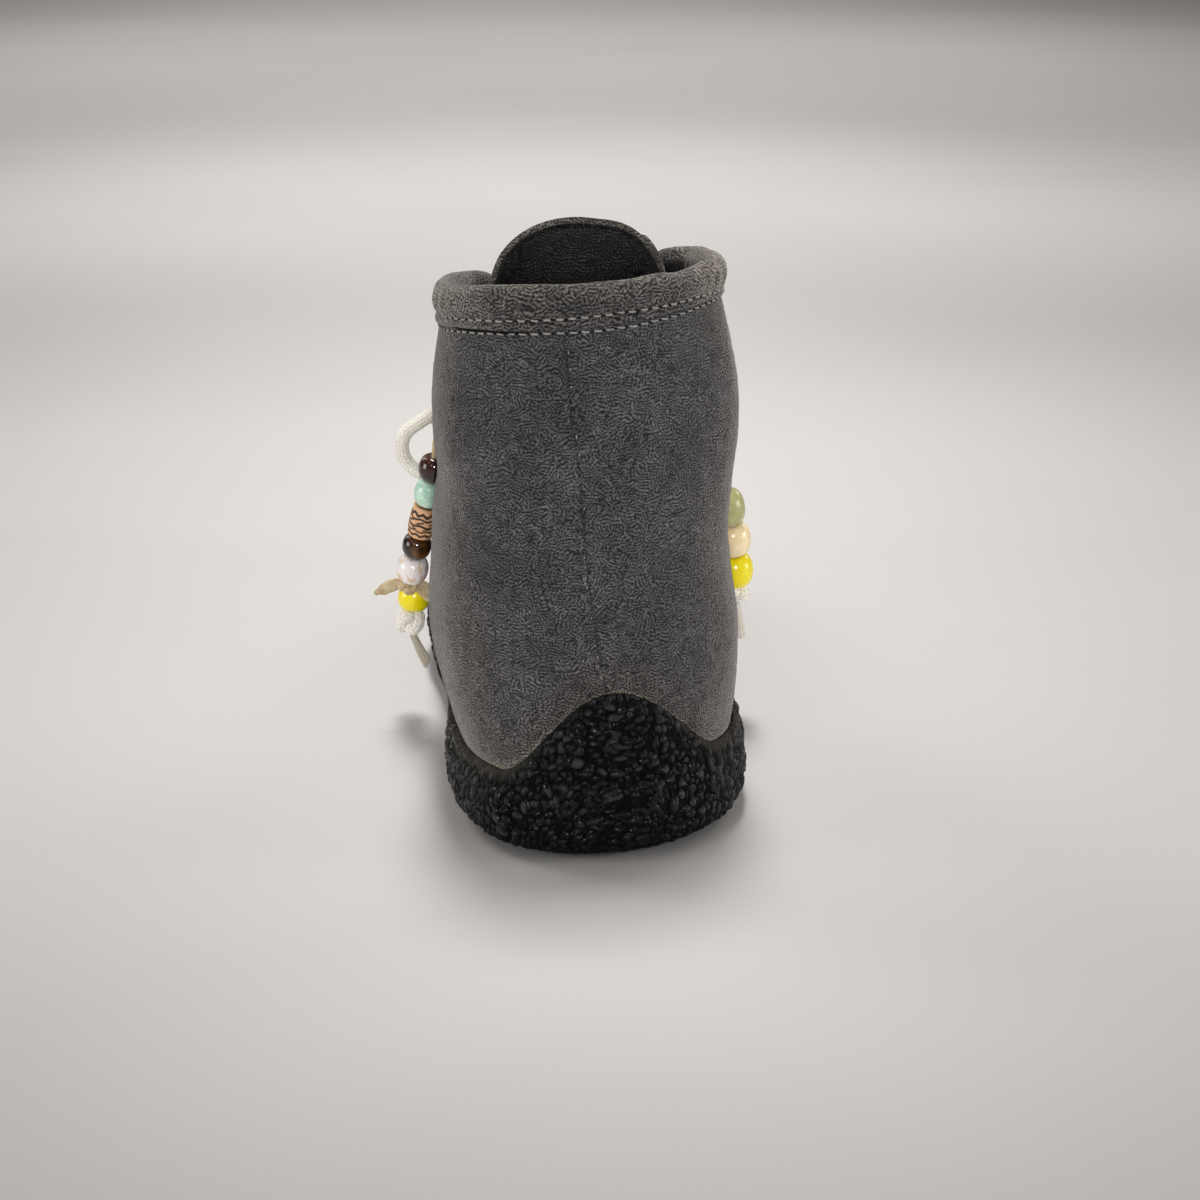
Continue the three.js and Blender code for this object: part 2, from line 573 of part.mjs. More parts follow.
// On the tongue's face, u from -1 at one facing's edge to 1 at the other.
function onTongue(y, u, lift) {
  const face = archAt(y, 0.6), k = 6 + u * 3, i = Math.min(11, Math.floor(k));
  const p = face[i].clone().lerp(face[i + 1], k - i);
  const across = face[i + 1].clone().sub(face[i]);
  const along = archAt(y + 2, 0.6)[i].sub(archAt(y - 2, 0.6)[i]);
  return p.addScaledVector(across.cross(along).normalize(), lift);
}
function cord(points, radius, steps, sides = 8) {
  const section = new THREE.Shape();
  for (let k = 0; k <= sides; k++) {
    const a = ((k + 0.5) / sides) * 2 * Math.PI;
    if (k) section.lineTo(radius * Math.cos(a), radius * Math.sin(a));
    else section.moveTo(radius * Math.cos(a), radius * Math.sin(a));
  }
  const extrudePath = new THREE.CatmullRomCurve3(points, false, "centripetal");
  return new THREE.ExtrudeGeometry(section, { steps, extrudePath, bevelEnabled: false });
}
const joined = new Map();
for (const s of STRANDS) {
  const base = LACE_R + ON_TONGUE;
  const middle = [-0.9, -0.55, 0, 0.55, 0.9].map((u) => {
    const raised = u < 0 ? s.out : s.over;
    return onTongue(s.from + ((s.to - s.from) * (u + 1)) / 2, -s.side * u, base + (raised ? 2.6 * Math.abs(u) ** 1.5 : 0));
  });
  const points = [...(s.out ? overEdge(s.side, s.from) : []), ...middle, ...(s.over ? overEdge(-s.side, s.to).reverse() : [])];
  const tube = solid(cord(points, LACE_R, 8));
  joined.set(s.node, joined.has(s.node) ? joined.get(s.node).add(tube) : tube);
}
for (const [node, body] of joined) place(node, geometryOf(body), 0xe6ddcb, 0.85);

// The bow knot: a round lump on the tongue with a strand to each top eyelet.
const KNOT_AT = onTongue(56, 0, 8.2);
const KNOT_HALF = 7, KNOT_R = 5.6;
const BORE_GAP = 0.75; // between a cord and the bore of what is threaded on it
{
  const profile = [[0, -1], [0.6, -0.94], [0.92, -0.6], [1, 0], [0.92, 0.6], [0.6, 0.94], [0, 1]];
  const lump = new THREE.LatheGeometry(profile.map(([r, h]) => new THREE.Vector2(r * KNOT_R, h * KNOT_HALF)), 10);
  lump.rotateZ(Math.PI / 2);
  lump.translate(KNOT_AT.x, KNOT_AT.y, KNOT_AT.z);
  let knot = solid(lump);
  for (const side of [-1, 1]) {
    const inside = KNOT_AT.clone().add(new THREE.Vector3(side * 3, -2, -0.4));
    const beside = KNOT_AT.clone().add(new THREE.Vector3(side * 10, -4.4, 0));
    knot = knot.add(solid(cord([...overEdge(side, EYELETS.top), beside, inside], LACE_R, 6)));
  }
  place("lace_knot", geometryOf(knot), 0xe6ddcb, 0.85);
}

// Routes of the free cords. Offsets are measured from the knot where a row says so.
const CORDS = [
  { node: "lace_loop_left", radius: 2.1, steps: 20, colour: 0xe6ddcb },
  { node: "lace_loop_right", radius: 2.1, steps: 17, colour: 0xe6ddcb },
  { node: "lace_end_left", radius: 1.8, steps: 16, colour: 0xe6ddcb },
  { node: "lace_end_right", radius: 1.8, steps: 14, colour: 0xe6ddcb },
  { node: "thong", radius: 1.5, steps: 14, colour: 0xa98454 },
];
const ROUTES = {
  lace_loop_left: [
    { at: "knot", x: -10.8, y: 57.6, z: 139.6 },
    { at: "rise", x: -17, y: 60.2, z: 135.2 },
    { at: "over the facing", x: -25, y: 64.2, z: 128 },
    { at: "falling", x: -32.4, y: 68.2, z: 118.4 },
    { at: "falling", x: -38.6, y: 71.4, z: 108.4 },
    { at: "falling", x: -42.2, y: 72.8, z: 101.8 },
    { at: "out", x: -45.6, y: 73.3, z: 98 },
    { at: "out", x: -49.4, y: 73.3, z: 95.6 },
    { at: "bow", x: -52.9, y: 73.3, z: 93 },
    { at: "bow", x: -54.5, y: 73.3, z: 89.4 },
    { at: "bow", x: -54.2, y: 73.3, z: 85.8 },
    { at: "bow", x: -52.4, y: 73.3, z: 82.8 },
    { at: "back", x: -49, y: 73.4, z: 80.4 },
    { at: "back", x: -45, y: 74.2, z: 80.4 },
    { at: "back", x: -42, y: 75, z: 85.4 },
    { at: "climbing", x: -39, y: 75.8, z: 95 },
    { at: "climbing", x: -34.2, y: 75, z: 106 },
    { at: "climbing", x: -26.6, y: 71.2, z: 118 },
    { at: "climbing", x: -18, y: 66, z: 129.4 },
    { at: "knot", x: -10.8, y: 61.4, z: 136 },
  ],
  lace_loop_right: [
    { at: "knot", x: 6.4, y: 57.6, z: 139.6 },
    { at: "rise", x: 12, y: 62, z: 135 },
    { at: "over the facing", x: 19.6, y: 69.6, z: 126 },
    { at: "falling", x: 26.4, y: 77, z: 114.6 },
    { at: "falling", x: 31.8, y: 83.4, z: 102.4 },
    { at: "out", x: 35, y: 87.2, z: 91.6 },
    { at: "bow", x: 35.4, y: 90, z: 83 },
    { at: "bow", x: 32.6, y: 92, z: 78.4 },
    { at: "back", x: 28.8, y: 93, z: 81 },
    { at: "back", x: 25.6, y: 92.6, z: 88.8 },
    { at: "climbing", x: 21.8, y: 89.8, z: 98.8 },
    { at: "climbing", x: 17.4, y: 83.6, z: 110 },
    { at: "climbing", x: 12, y: 74.8, z: 121.4 },
    { at: "climbing", x: 8.2, y: 66.6, z: 130.8 },
    { at: "knot", x: 6.4, y: 61.4, z: 136.2 },
  ],
  lace_end_left: [
    { at: "knot", x: -10.8, y: 58.2, z: 132 },
    { at: "under the loop", x: -13.2, y: 64.4, z: 127.6 },
    { at: "under the loop", x: -16.6, y: 71, z: 123.2 },
    { at: "over the facing", x: -22.4, y: 77.2, z: 117.4 },
    { at: "falling", x: -28.6, y: 81, z: 109 },
    { at: "falling", x: -34, y: 82, z: 99 },
    { at: "falling", x: -38.2, y: 82, z: 89 },
    { at: "falling", x: -41.4, y: 81.6, z: 80 },
    { at: "falling", x: -44.7, y: 81.4, z: 70.9 },
    { at: "falling", x: -47.6, y: 81.5, z: 63.3 },
    { at: "falling", x: -49.9, y: 81.8, z: 55.3 },
    { at: "above the bead", x: -51.1, y: 82.3, z: 47.4 },
    { at: "bead", x: -52, y: 83, z: 38.6 },
    { at: "stopper", x: -53.5, y: 84, z: 30.6 },
    { at: "tail", x: -54, y: 84.4, z: 26.8 },
    { at: "tail", x: -52.3, y: 84.8, z: 22 },
    { at: "end", x: -49, y: 85.2, z: 17 },
  ],
  lace_end_right: [
    { at: "knot", x: 5.8, y: 58.2, z: 132 },
    { at: "beside the loop", x: 10.6, y: 61, z: 129.6 },
    { at: "over the facing", x: 17, y: 63.6, z: 125.4 },
    { at: "falling", x: 25, y: 66.8, z: 115.8 },
    { at: "falling", x: 32, y: 68.2, z: 104 },
    { at: "falling", x: 37, y: 68.8, z: 92.4 },
    { at: "falling", x: 40.4, y: 69.2, z: 80.4 },
    { at: "bead", x: 42.7, y: 70, z: 69.2 },
    { at: "bead", x: 44.9, y: 72.6, z: 58.7 },
    { at: "bead", x: 45.9, y: 75, z: 48.2 },
    { at: "stopper", x: 46.2, y: 76.6, z: 40.3 },
    { at: "tail", x: 47.2, y: 77.6, z: 34.8 },
    { at: "tail", x: 48, y: 78.4, z: 30 },
    { at: "end", x: 48.6, y: 79.2, z: 25.6 },
  ],
  thong: [
    { at: "on the knot", x: 1.4, y: 62.8, z: 142.4 },
    { at: "on the knot", x: -6.6, y: 62.6, z: 142.8 },
    { at: "over the loop", x: -16, y: 61.6, z: 140.8 },
    { at: "falling", x: -26, y: 60.8, z: 133.6 },
    { at: "falling", x: -35, y: 61.4, z: 121 },
    { at: "falling", x: -40.4, y: 61.8, z: 108.4 },
    { at: "falling", x: -43.2, y: 62.2, z: 98.6 },
    { at: "above the beads", x: -44.2, y: 62.8, z: 91.4 },
    { at: "bead", x: -44.9, y: 63.8, z: 84 },
    { at: "bead", x: -46.5, y: 66, z: 76.1 },
    { at: "bead", x: -48.5, y: 68.3, z: 66.9 },
    { at: "bead", x: -50.6, y: 70.5, z: 58.5 },
    { at: "bead", x: -52.1, y: 72.5, z: 50.7 },
    { at: "stopper", x: -53.9, y: 74, z: 44.6 },
  ],
};
for (const c of CORDS) {
  const points = ROUTES[c.node].map((p) => new THREE.Vector3(p.x, p.y, p.z));
  place(c.node, cord(points, c.radius, c.steps), c.colour, 0.85);
}

// Beads and stopper knots: rings threaded on the cords, each square to the cord where it sits.
const THREADED = [
  { node: "bead_brown", on: "thong", z: 84, across: 9.2, high: 7.8, colour: 0x2a1208, roughness: 0.15 },
  { node: "bead_mint", on: "thong", z: 76.1, across: 9, high: 8.3, colour: 0x8fc7a6, roughness: 0.2 },
  { node: "bead_carved", on: "thong", z: 66.9, across: 8.5, high: 10.2, colour: 0xc98d5a, roughness: 0.5 },
  { node: "bead_tiger", on: "thong", z: 58.5, across: 8.8, high: 7, colour: 0x3a1a0a, roughness: 0.15 },
  { node: "bead_pearl", on: "thong", z: 50.7, across: 9.6, high: 8.5, colour: 0xd9cfc8, roughness: 0.25 },
  { node: "thong_knot", on: "thong", z: 45, across: 5.6, high: 3.4, colour: 0xa98454, roughness: 0.9 },
  { node: "bead_yellow_left", on: "lace_end_left", z: 38.6, across: 9.9, high: 7.9, colour: 0xe3cf10, roughness: 0.25 },
  { node: "lace_stopper_left", on: "lace_end_left", z: 31.2, across: 9.8, high: 5.8, colour: 0xe6ddcb, roughness: 0.85 },
  { node: "bead_olive", on: "lace_end_right", z: 69.2, across: 11, high: 10.6, colour: 0x8f8f55, roughness: 0.3 },
  { node: "bead_cream", on: "lace_end_right", z: 58.7, across: 11, high: 10.3, colour: 0xf3dcb4, roughness: 0.3 },
  { node: "bead_yellow_right", on: "lace_end_right", z: 48.2, across: 11.2, high: 10.2, colour: 0xe3cf10, roughness: 0.25 },
  { node: "lace_stopper_right", on: "lace_end_right", z: 40.2, across: 9, high: 5, colour: 0xe6ddcb, roughness: 0.85 },
];
for (const b of THREADED) {
  const cordOf = CORDS.find((c) => c.node === b.on);
  const curve = new THREE.CatmullRomCurve3(
    ROUTES[b.on].map((p) => new THREE.Vector3(p.x, p.y, p.z)), false, "centripetal");
  let best = 0, near = Infinity;
  for (let i = 0; i <= 800; i++) {
    const d = Math.abs(curve.getPointAt(i / 800).z - b.z);
    if (d < near) [near, best] = [d, i / 800];
  }
  const bore = cordOf.radius + BORE_GAP, R = b.across / 2, H = b.high / 2;
  const profile = [[bore, -0.96], [0.5 * (bore + R) + 0.4, -0.84], [R, -0.3], [R, 0.3], [0.5 * (bore + R) + 0.4, 0.84], [bore, 0.96]];
  const ring = new THREE.LatheGeometry([...profile, profile[0]].map(([r, h]) => new THREE.Vector2(r, h * H)), 9);
  const turn = new THREE.Quaternion().setFromUnitVectors(new THREE.Vector3(0, 1, 0), curve.getTangentAt(best).negate());
  ring.applyQuaternion(turn);
  const at = curve.getPointAt(best);
  ring.translate(at.x, at.y, at.z);
  place(b.node, closed(ring), b.colour, b.roughness);
}

// The thong's two flat ends below its knot.
const FLAPS = [
  { node: "thong_tail", x: -60.9, y: 74, z: 44.6, long: 7, wide: 3.2, thick: 1.2, turn: 14 },
  { node: "thong_tab", x: -47.9, y: 76.6, z: 42.6, long: 6, wide: 5.2, thick: 1.4, turn: -58 },
];
for (const f of FLAPS) {
  const plate = new THREE.BoxGeometry(f.long, f.thick, f.wide);
  plate.rotateY(rad(-f.turn));
  plate.translate(f.x, f.y, f.z);
  place(f.node, closed(plate), 0xa98454, 0.9);
}

export default boot;
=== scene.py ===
import math

import bpy
import numpy as np
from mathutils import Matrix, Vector


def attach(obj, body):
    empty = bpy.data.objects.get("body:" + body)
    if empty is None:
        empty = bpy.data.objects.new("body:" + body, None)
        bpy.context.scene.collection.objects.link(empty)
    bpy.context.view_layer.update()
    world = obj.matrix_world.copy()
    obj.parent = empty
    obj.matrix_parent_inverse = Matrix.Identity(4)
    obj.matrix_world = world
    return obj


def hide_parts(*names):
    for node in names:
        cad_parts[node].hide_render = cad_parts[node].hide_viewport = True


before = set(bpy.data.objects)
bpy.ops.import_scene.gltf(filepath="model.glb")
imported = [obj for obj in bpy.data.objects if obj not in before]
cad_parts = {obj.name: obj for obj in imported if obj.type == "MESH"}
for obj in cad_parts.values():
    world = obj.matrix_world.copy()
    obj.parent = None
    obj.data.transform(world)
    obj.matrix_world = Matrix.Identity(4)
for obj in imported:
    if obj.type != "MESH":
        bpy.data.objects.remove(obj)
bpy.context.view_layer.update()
MM = 0.001

# ------------------------------------------------------------------------------------------------ camera
scene = bpy.context.scene
cam_data = bpy.data.cameras.new("camera")
cam = bpy.data.objects.new("camera", cam_data)
scene.collection.objects.link(cam)
scene.camera = cam
AZ, EL, DIST, TARGET = -3.0, 17.0, 0.750, Vector((0.0008, 0.0, 0.062))
_a, _e = math.radians(AZ), math.radians(EL)
_back = Vector((math.sin(_a) * math.cos(_e), -math.cos(_a) * math.cos(_e), math.sin(_e)))
cam.location = TARGET + _back * DIST
cam.rotation_mode = "QUATERNION"
cam.rotation_quaternion = (-_back).to_track_quat("-Z", "Y")
cam_data.sensor_width = 36.0
cam_data.lens = 36.0 * 2715 / 1200
cam_data.clip_start, cam_data.clip_end = 0.01, 50

# ------------------------------------------------------------------------------------------------ boot sizes (mm)
WALL, GAP, THROAT_Y = 2.4, 0.3, 103.0
ROLL_HIGH, ROLL_OUT, ROLL_IN = 10.0, 1.6, 2.6
SOLE_FLAT_HEEL, SOLE_FLAT_FORE = 30.0, (101.0, 166.0)
ARCH_LIFT, TOE_SPRING, TOE_Y = 2.6, 9.0, 252.0
CUP_TOP_WALL, CUP_BULGE, INSOLE_THICK, LACE_R = 1.7, 4.6, 3.0, 2.1
# y, lateral, medial, z, lean
FEATHER = [
    (-35, 0, 0, 15, 88), (-29, 20.5, 20.5, 15, 88), (-12, 32.5, 34, 15, 84), (15, 36.6, 38.6, 15, 78),
    (50, 34.8, 36, 14, 70), (88, 36, 37, 12.5, 72), (125, 39.6, 42.5, 11, 76), (155, 38.8, 47.5, 10.8, 76),
    (184, 34.6, 48.5, 11.5, 75), (212, 26, 44, 13.5, 74), (234, 12.5, 33, 16, 73), (245, -10.5, 10.5, 17.5, 72),
]
# y, lateral, medial, z, below, above
SHOULDER = [
    (-37, 0, 0, 58, 92, 91), (-31, 22.5, 22.5, 58, 90, 91), (-12, 37.5, 37.5, 58, 87, 92), (18, 41.8, 41, 58, 90, 92),
    (52, 41, 39, 58, 98, 98), (82, 37, 36.5, 58.5, 110, 112), (108, 36, 35, 60, 126, 130), (148, 33, 38.5, 57, 142, 156),
    (182, 29, 39.5, 54, 146, 164), (209, 20, 35, 51.5, 148, 167), (225, 8.5, 25.5, 50.3, 150, 169), (232, -9, 9, 50, 150, 170),
]
RIM = [
    (-36, 0, 0, 147.4, 88), (-30, 22, 21.5, 147, 91), (-12, 35, 34.8, 145.6, 96), (12, 36.3, 36.2, 143.3, 98),
    (32, 31.5, 34.5, 140.5, 102), (46, 22, 27, 136, 108), (62, 17, 21.5, 121, 122), (78, 15.2, 19, 106, 132),
    (95, 13, 16, 93, 140), (107, 8.5, 10.5, 85.5, 150), (113, -1, 1, 82.5, 163),
]
BOW, BOW_FROM, BOW_LENGTH, LEAN, HEEL_SWING, COLLAR_TILT = 2.4, -10.0, 260.0, 4.6, 0.1, 0.08
# side, z, out, tall
FULLNESS = [(1, 116, 4.8, 25), (1, 52, 1.6, 20), (-1, 97, -1.5, 12), (-1, 128, 0.6, 14), (-1, 46, 2, 18)]


def smooth(a, b, x):
    t = np.clip((np.asarray(x, float) - a) / (b - a), 0, 1)
    return t * t * (3 - 2 * t)


def sway(y, z):
    return -BOW * np.sin(np.pi * np.clip(y - BOW_FROM, 0, BOW_LENGTH) / BOW_LENGTH) - LEAN * smooth(10, 110, z) * (
        1 - 0.75 * smooth(60, 150, y)
    )


def fullness(side, y, z):
    along = smooth(-34, -6, y) * (1 - smooth(44, 84, y))
    total = 0
    for s, fz, out, tall in FULLNESS:
        total = total + np.where(side == s, out * np.exp(-(((z - fz) / tall) ** 2)), 0)
    return total * along


def closed_line(rows, ease):
    """Columns x, y, z and the rest, round the boot by the lateral side first."""
    first, last = rows[0], rows[-1]
    ring = [(first[2], first[0], *first[3:])]
    ring += [(-r[1], r[0], *r[3:]) for r in rows[1:-1]]
    ring += [(last[2], last[0], *last[3:])]
    ring += [(r[2], r[0], *r[3:]) for r in rows[1:-1][::-1]]
    ring = np.array(ring, float)
    n = len(ring)
    out = []
    for i in range(n):
        a, b, c, d = (ring[(i + k) % n] for k in (-1, 0, 1, 2))
        g0, g1, g2 = (math.sqrt(math.hypot(q[0] - p[0], q[1] - p[1])) for p, q in ((a, b), (b, c), (c, d)))
        m1 = ((b - a) / g0 - (c - a) / (g0 + g1) + (c - b) / g1) * g1
        m2 = ((c - b) / g1 - (d - b) / (g1 + g2) + (d - c) / g2) * g1
        for s in range(32):
            t = s / 32
            out.append(b + m1 * t + (3 * (c - b) - 2 * m1 - m2) * t * t + (2 * (b - c) + m1 + m2) * t**3)
    out = np.array(out)
    for _ in range(ease):
        out = (np.roll(out, 1, 0) + 2 * out + np.roll(out, -1, 0)) / 4
    return out


LINES = [closed_line(FEATHER, 60), closed_line(SHOULDER, 60), closed_line(RIM, 24)]


def plane_of(w):
    turn = np.mod(w, 6.0)
    side = np.where(turn <= 3, -1.0, 1.0)
    q = np.where(turn <= 3, turn, 6 - turn)
    rear, mid = q <= 1, (q > 1) & (q <= 2)
    a = (3 - q) * np.pi / 2
    dx = np.where(rear, side * np.sin(q * np.pi / 2), np.where(mid, side, side * np.sin(a)))
    dy = np.where(rear, -np.cos(q * np.pi / 2), np.where(mid, 0.0, np.cos(a)))
    oy = np.where(rear, 0.0, np.where(mid, (q - 1) * THROAT_Y, THROAT_Y))
    return side, q, oy, dx, dy


def crossing(line, oy, dx, dy):
    x, y = line[:, 0], line[:, 1]
    c = x * dy - (y - oy) * dx
    c2 = np.roll(c, -1)
    hit = np.nonzero((c * c2 <= 0) & (c != c2))[0]
    nxt = np.roll(line, -1, 0)[hit]
    t = (c[hit] / (c[hit] - c2[hit]))[:, None]
    made = line[hit] + (nxt - line[hit]) * t
    r = made[:, 0] * dx + (made[:, 1] - oy) * dy
    k = int(np.argmax(r))
    return r[k], made[k, 2:]


_ribs = {}


def ribs(ws):
    """Rib columns for every w: one row each."""
    rows = []
    for w in np.round(np.asarray(ws, float), 7):
        if w not in _ribs:
            side, q, oy, dx, dy = (float(v) for v in plane_of(w))
            parts = [side, q, oy, dx, dy]
            for line in LINES:
                r, rest = crossing(line, oy, dx, dy)
                parts += [r, *rest]
            _ribs[w] = parts
        rows.append(_ribs[w])
    return np.array(rows)  # side q oy dx dy | f.r f.z f.lean | s.r s.z s.below s.above | r.r r.z r.lean


def hermite(ar, az, br, bz, la, lb, t):
    chord = np.hypot(br - ar, bz - az) * 1.05
    la, lb = np.radians(la), np.radians(lb)
    h0, h1, h2, h3 = 2 * t**3 - 3 * t**2 + 1, t**3 - 2 * t**2 + t, -2 * t**3 + 3 * t**2, t**3 - t**2
    return (
        h0 * ar + h1 * chord * np.cos(la) + h2 * br + h3 * chord * np.cos(lb),
        h0 * az + h1 * chord * np.sin(la) + h2 * bz + h3 * chord * np.sin(lb),
    )


def swayed(x, y, z):
    tilt = COLLAR_TILT * x * smooth(95, 145, z) * (1 - smooth(30, 70, y))
    swing = HEEL_SWING * x * (1 - smooth(-20, 60, y))
    return np.stack(np.broadcast_arrays(x + sway(y, z), y + swing, z + tilt), -1)


def outer(ws, v):
    """Outer face of the upper. ws is (n,), v is (m,) or (n, m)."""
    R = ribs(ws)[:, :, None]
    v = np.asarray(v, float)
    if v.ndim == 1:
        v = v[None, :]
    side, oy, dx, dy = R[:, 0], R[:, 2], R[:, 3], R[:, 4]
    r1, z1 = hermite(R[:, 5], R[:, 6], R[:, 8], R[:, 9], R[:, 7], R[:, 10], np.clip(v, -1, 1))
    r2, z2 = hermite(R[:, 8], R[:, 9], R[:, 12], R[:, 13], R[:, 11], R[:, 14], np.clip(v - 1, 0, 2))
    r, z = np.where(v <= 1, r1, r2), np.where(v <= 1, z1, z2)
    reach = r + fullness(side, oy + dy * r, z) * np.abs(dx)
    return swayed(dx * reach, oy + dy * reach, z)


def unit(a):
    return a / np.maximum(np.linalg.norm(a, axis=-1, keepdims=True), 1e-12)


ROUND = 2400
RIB_TABLE = ribs(np.arange(ROUND + 1) * 6.0 / ROUND)[:, 5:]


def form(w, v):
    """Outer face at any matching arrays of w and v, from a dense table of ribs."""
    w, v = np.broadcast_arrays(np.asarray(w, float), np.asarray(v, float))
    side, q, oy, dx, dy = plane_of(w)
    x = np.mod(w, 6.0) * (ROUND / 6)
    i = np.minimum(x.astype(int), ROUND - 1)
    t = (x - i)[..., None]
    R = RIB_TABLE[i] * (1 - t) + RIB_TABLE[i + 1] * t
    r1, z1 = hermite(R[..., 0], R[..., 1], R[..., 3], R[..., 4], R[..., 2], R[..., 5], np.clip(v, -1, 1))
    r2, z2 = hermite(R[..., 3], R[..., 4], R[..., 7], R[..., 8], R[..., 6], R[..., 9], np.clip(v - 1, 0, 2))
    r, z = np.where(v <= 1, r1, r2), np.where(v <= 1, z1, z2)
    reach = r + fullness(side, oy + dy * r, z) * np.abs(dx)
    return swayed(dx * reach, oy + dy * reach, z)


def facing(w, v):
    """Outward normal of the form."""
    w, v = np.broadcast_arrays(np.asarray(w, float), np.asarray(v, float))
    along = form(w + 0.02, v) - form(w - 0.02, v)
    up = form(w, np.minimum(2, v + 0.02)) - form(w, np.maximum(0, v - 0.02))
    return unit(np.cross(up, along))


def on_form(w, v, off):
    return form(w, v) + facing(w, v) * np.asarray(off, float)[..., None]


def cup_level(w):
    """v where the cup's top edge meets the upper."""
    w = np.asarray(w, float)
    z = cup_top(w)
    a, b = np.zeros(w.shape), np.ones(w.shape)
    for _ in range(26):
        m = (a + b) / 2
        low = form(w, m)[..., 2] < z
        a, b = np.where(low, m, a), np.where(low, b, m)
    return (a + b) / 2


def normals(ws, v):
    v = np.asarray(v, float)
    along = outer(np.asarray(ws) + 0.02, v) - outer(np.asarray(ws) - 0.02, v)
    up = outer(ws, np.minimum(2, v + 0.02)) - outer(ws, np.maximum(0, v - 0.02))
    return unit(np.cross(up, along))


def skin(ws, v, off):
    off = np.asarray(off, float)
    if off.ndim:
        off = off[..., None]
    return outer(ws, v) + normals(ws, v) * off


def outward(ws, off, z):
    R = ribs(ws)
    r = R[:, 5] + off
    return swayed(R[:, 3] * r, R[:, 2] + R[:, 4] * r, z)


def ground(y):
    arch = ARCH_LIFT * smooth(SOLE_FLAT_HEEL, 52, y) * (1 - smooth(78, SOLE_FLAT_FORE[0], y))
    spring = TOE_SPRING * (np.clip(y - SOLE_FLAT_FORE[1], 0, None) / (TOE_Y - SOLE_FLAT_FORE[1])) ** 1.8
    return arch + spring


HEEL_PEAK, CORNER_LATERAL, CORNER_MEDIAL, SIDE_TOP, TOE_TOP, PEAK_SHIFT, PEAK_HALF = 47.0, 22.5, 25.5, 24.0, 33.0, 0.07, 0.62


def cup_top(ws):
    side, q, *_ = plane_of(np.asarray(ws, float))
    s = np.where(side > 0, q, -q) - PEAK_SHIFT
    peak = np.where(np.abs(s) < PEAK_HALF, np.abs(0.5 + 0.5 * np.cos(np.pi * s / PEAK_HALF)) ** 0.9, 0)
    corner = CORNER_LATERAL + (CORNER_MEDIAL - CORNER_LATERAL) * smooth(-0.6, 0.6, s)
    base = corner + (SIDE_TOP - corner) * smooth(0.9, 1.6, q)
    return base + (HEEL_PEAK - corner) * peak + (TOE_TOP - SIDE_TOP) * smooth(2.2, 3, q)


def level_at(ws, z):
    """v below the shoulder where the outer face has height z (one z per w)."""
    a, b = np.zeros(len(ws)), np.ones(len(ws))
    for _ in range(26):
        m = (a + b) / 2
        low = outer(ws, m[:, None])[:, 0, 2] < z
        a, b = np.where(low, m, a), np.where(low, b, m)
    return (a + b) / 2


def floor_z(y):
    ys = [r[0] for r in FEATHER]
    zs = [r[3] for r in FEATHER]
    y = np.asarray(y, float)
    out = np.full(y.shape, zs[-1] - GAP, float)
    for i in range(len(ys) - 2, -1, -1):
        t = smooth(ys[i], ys[i + 1], y)
        out = np.where(y <= ys[i + 1], zs[i] + (zs[i + 1] - zs[i]) * t - GAP, out)
    return np.where(y <= ys[0], zs[0] - GAP, out)


# ------------------------------------------------------------------------------------------------ noise
_rng = np.random.default_rng(7)
_GRAD = unit(_rng.normal(size=(256, 3)))
_RAND = _rng.random((256, 4))
_PERM = _rng.permutation(256)


def _hash(ix, iy, iz):
    return _PERM[(_PERM[(_PERM[ix & 255] + iy) & 255] + iz) & 255]


def noise(p, scale=1.0, seed=0):
    """Gradient noise, about -0.7 to 0.7, at points (..., 3)."""
    q = np.asarray(p, float) * scale + seed * 17.31
    i = np.floor(q).astype(int)
    f = q - i
    u = f * f * f * (f * (f * 6 - 15) + 10)
    total = 0
    for dx in (0, 1):
        for dy in (0, 1):
            for dz in (0, 1):
                g = _GRAD[_hash(i[..., 0] + dx, i[..., 1] + dy, i[..., 2] + dz)]
                d = f - np.array([dx, dy, dz])
                wgt = (
                    (u[..., 0] if dx else 1 - u[..., 0])
                    * (u[..., 1] if dy else 1 - u[..., 1])
                    * (u[..., 2] if dz else 1 - u[..., 2])
                )
                total = total + wgt * (g * d).sum(-1)
    return total


def fractal(p, scale=1.0, octaves=3, seed=0):
    return sum(noise(p, scale * 2**k, seed + k) / 2**k for k in range(octaves))


def cells(p, seed=0):
    """Nearest and second nearest cell distance and the nearest cell's random numbers, at 2-D points (..., 2)."""
    q = np.asarray(p, float)
    i = np.floor(q).astype(int)
    best = np.full(q.shape[:-1], 9.0)
    second = np.full(q.shape[:-1], 9.0)
    rand = np.zeros(q.shape[:-1] + (2,))
    for dx in (-1, 0, 1):
        for dy in (-1, 0, 1):
            cx, cy = i[..., 0] + dx, i[..., 1] + dy
            r = _RAND[_hash(cx, cy, np.full_like(cx, seed))]
            d = np.hypot(q[..., 0] - cx - r[..., 0], q[..., 1] - cy - r[..., 1])
            closer = d < best
            second = np.where(closer, best, np.minimum(second, d))
            rand = np.where(closer[..., None], r[..., 2:4], rand)
            best = np.where(closer, d, best)
    return best, second, rand


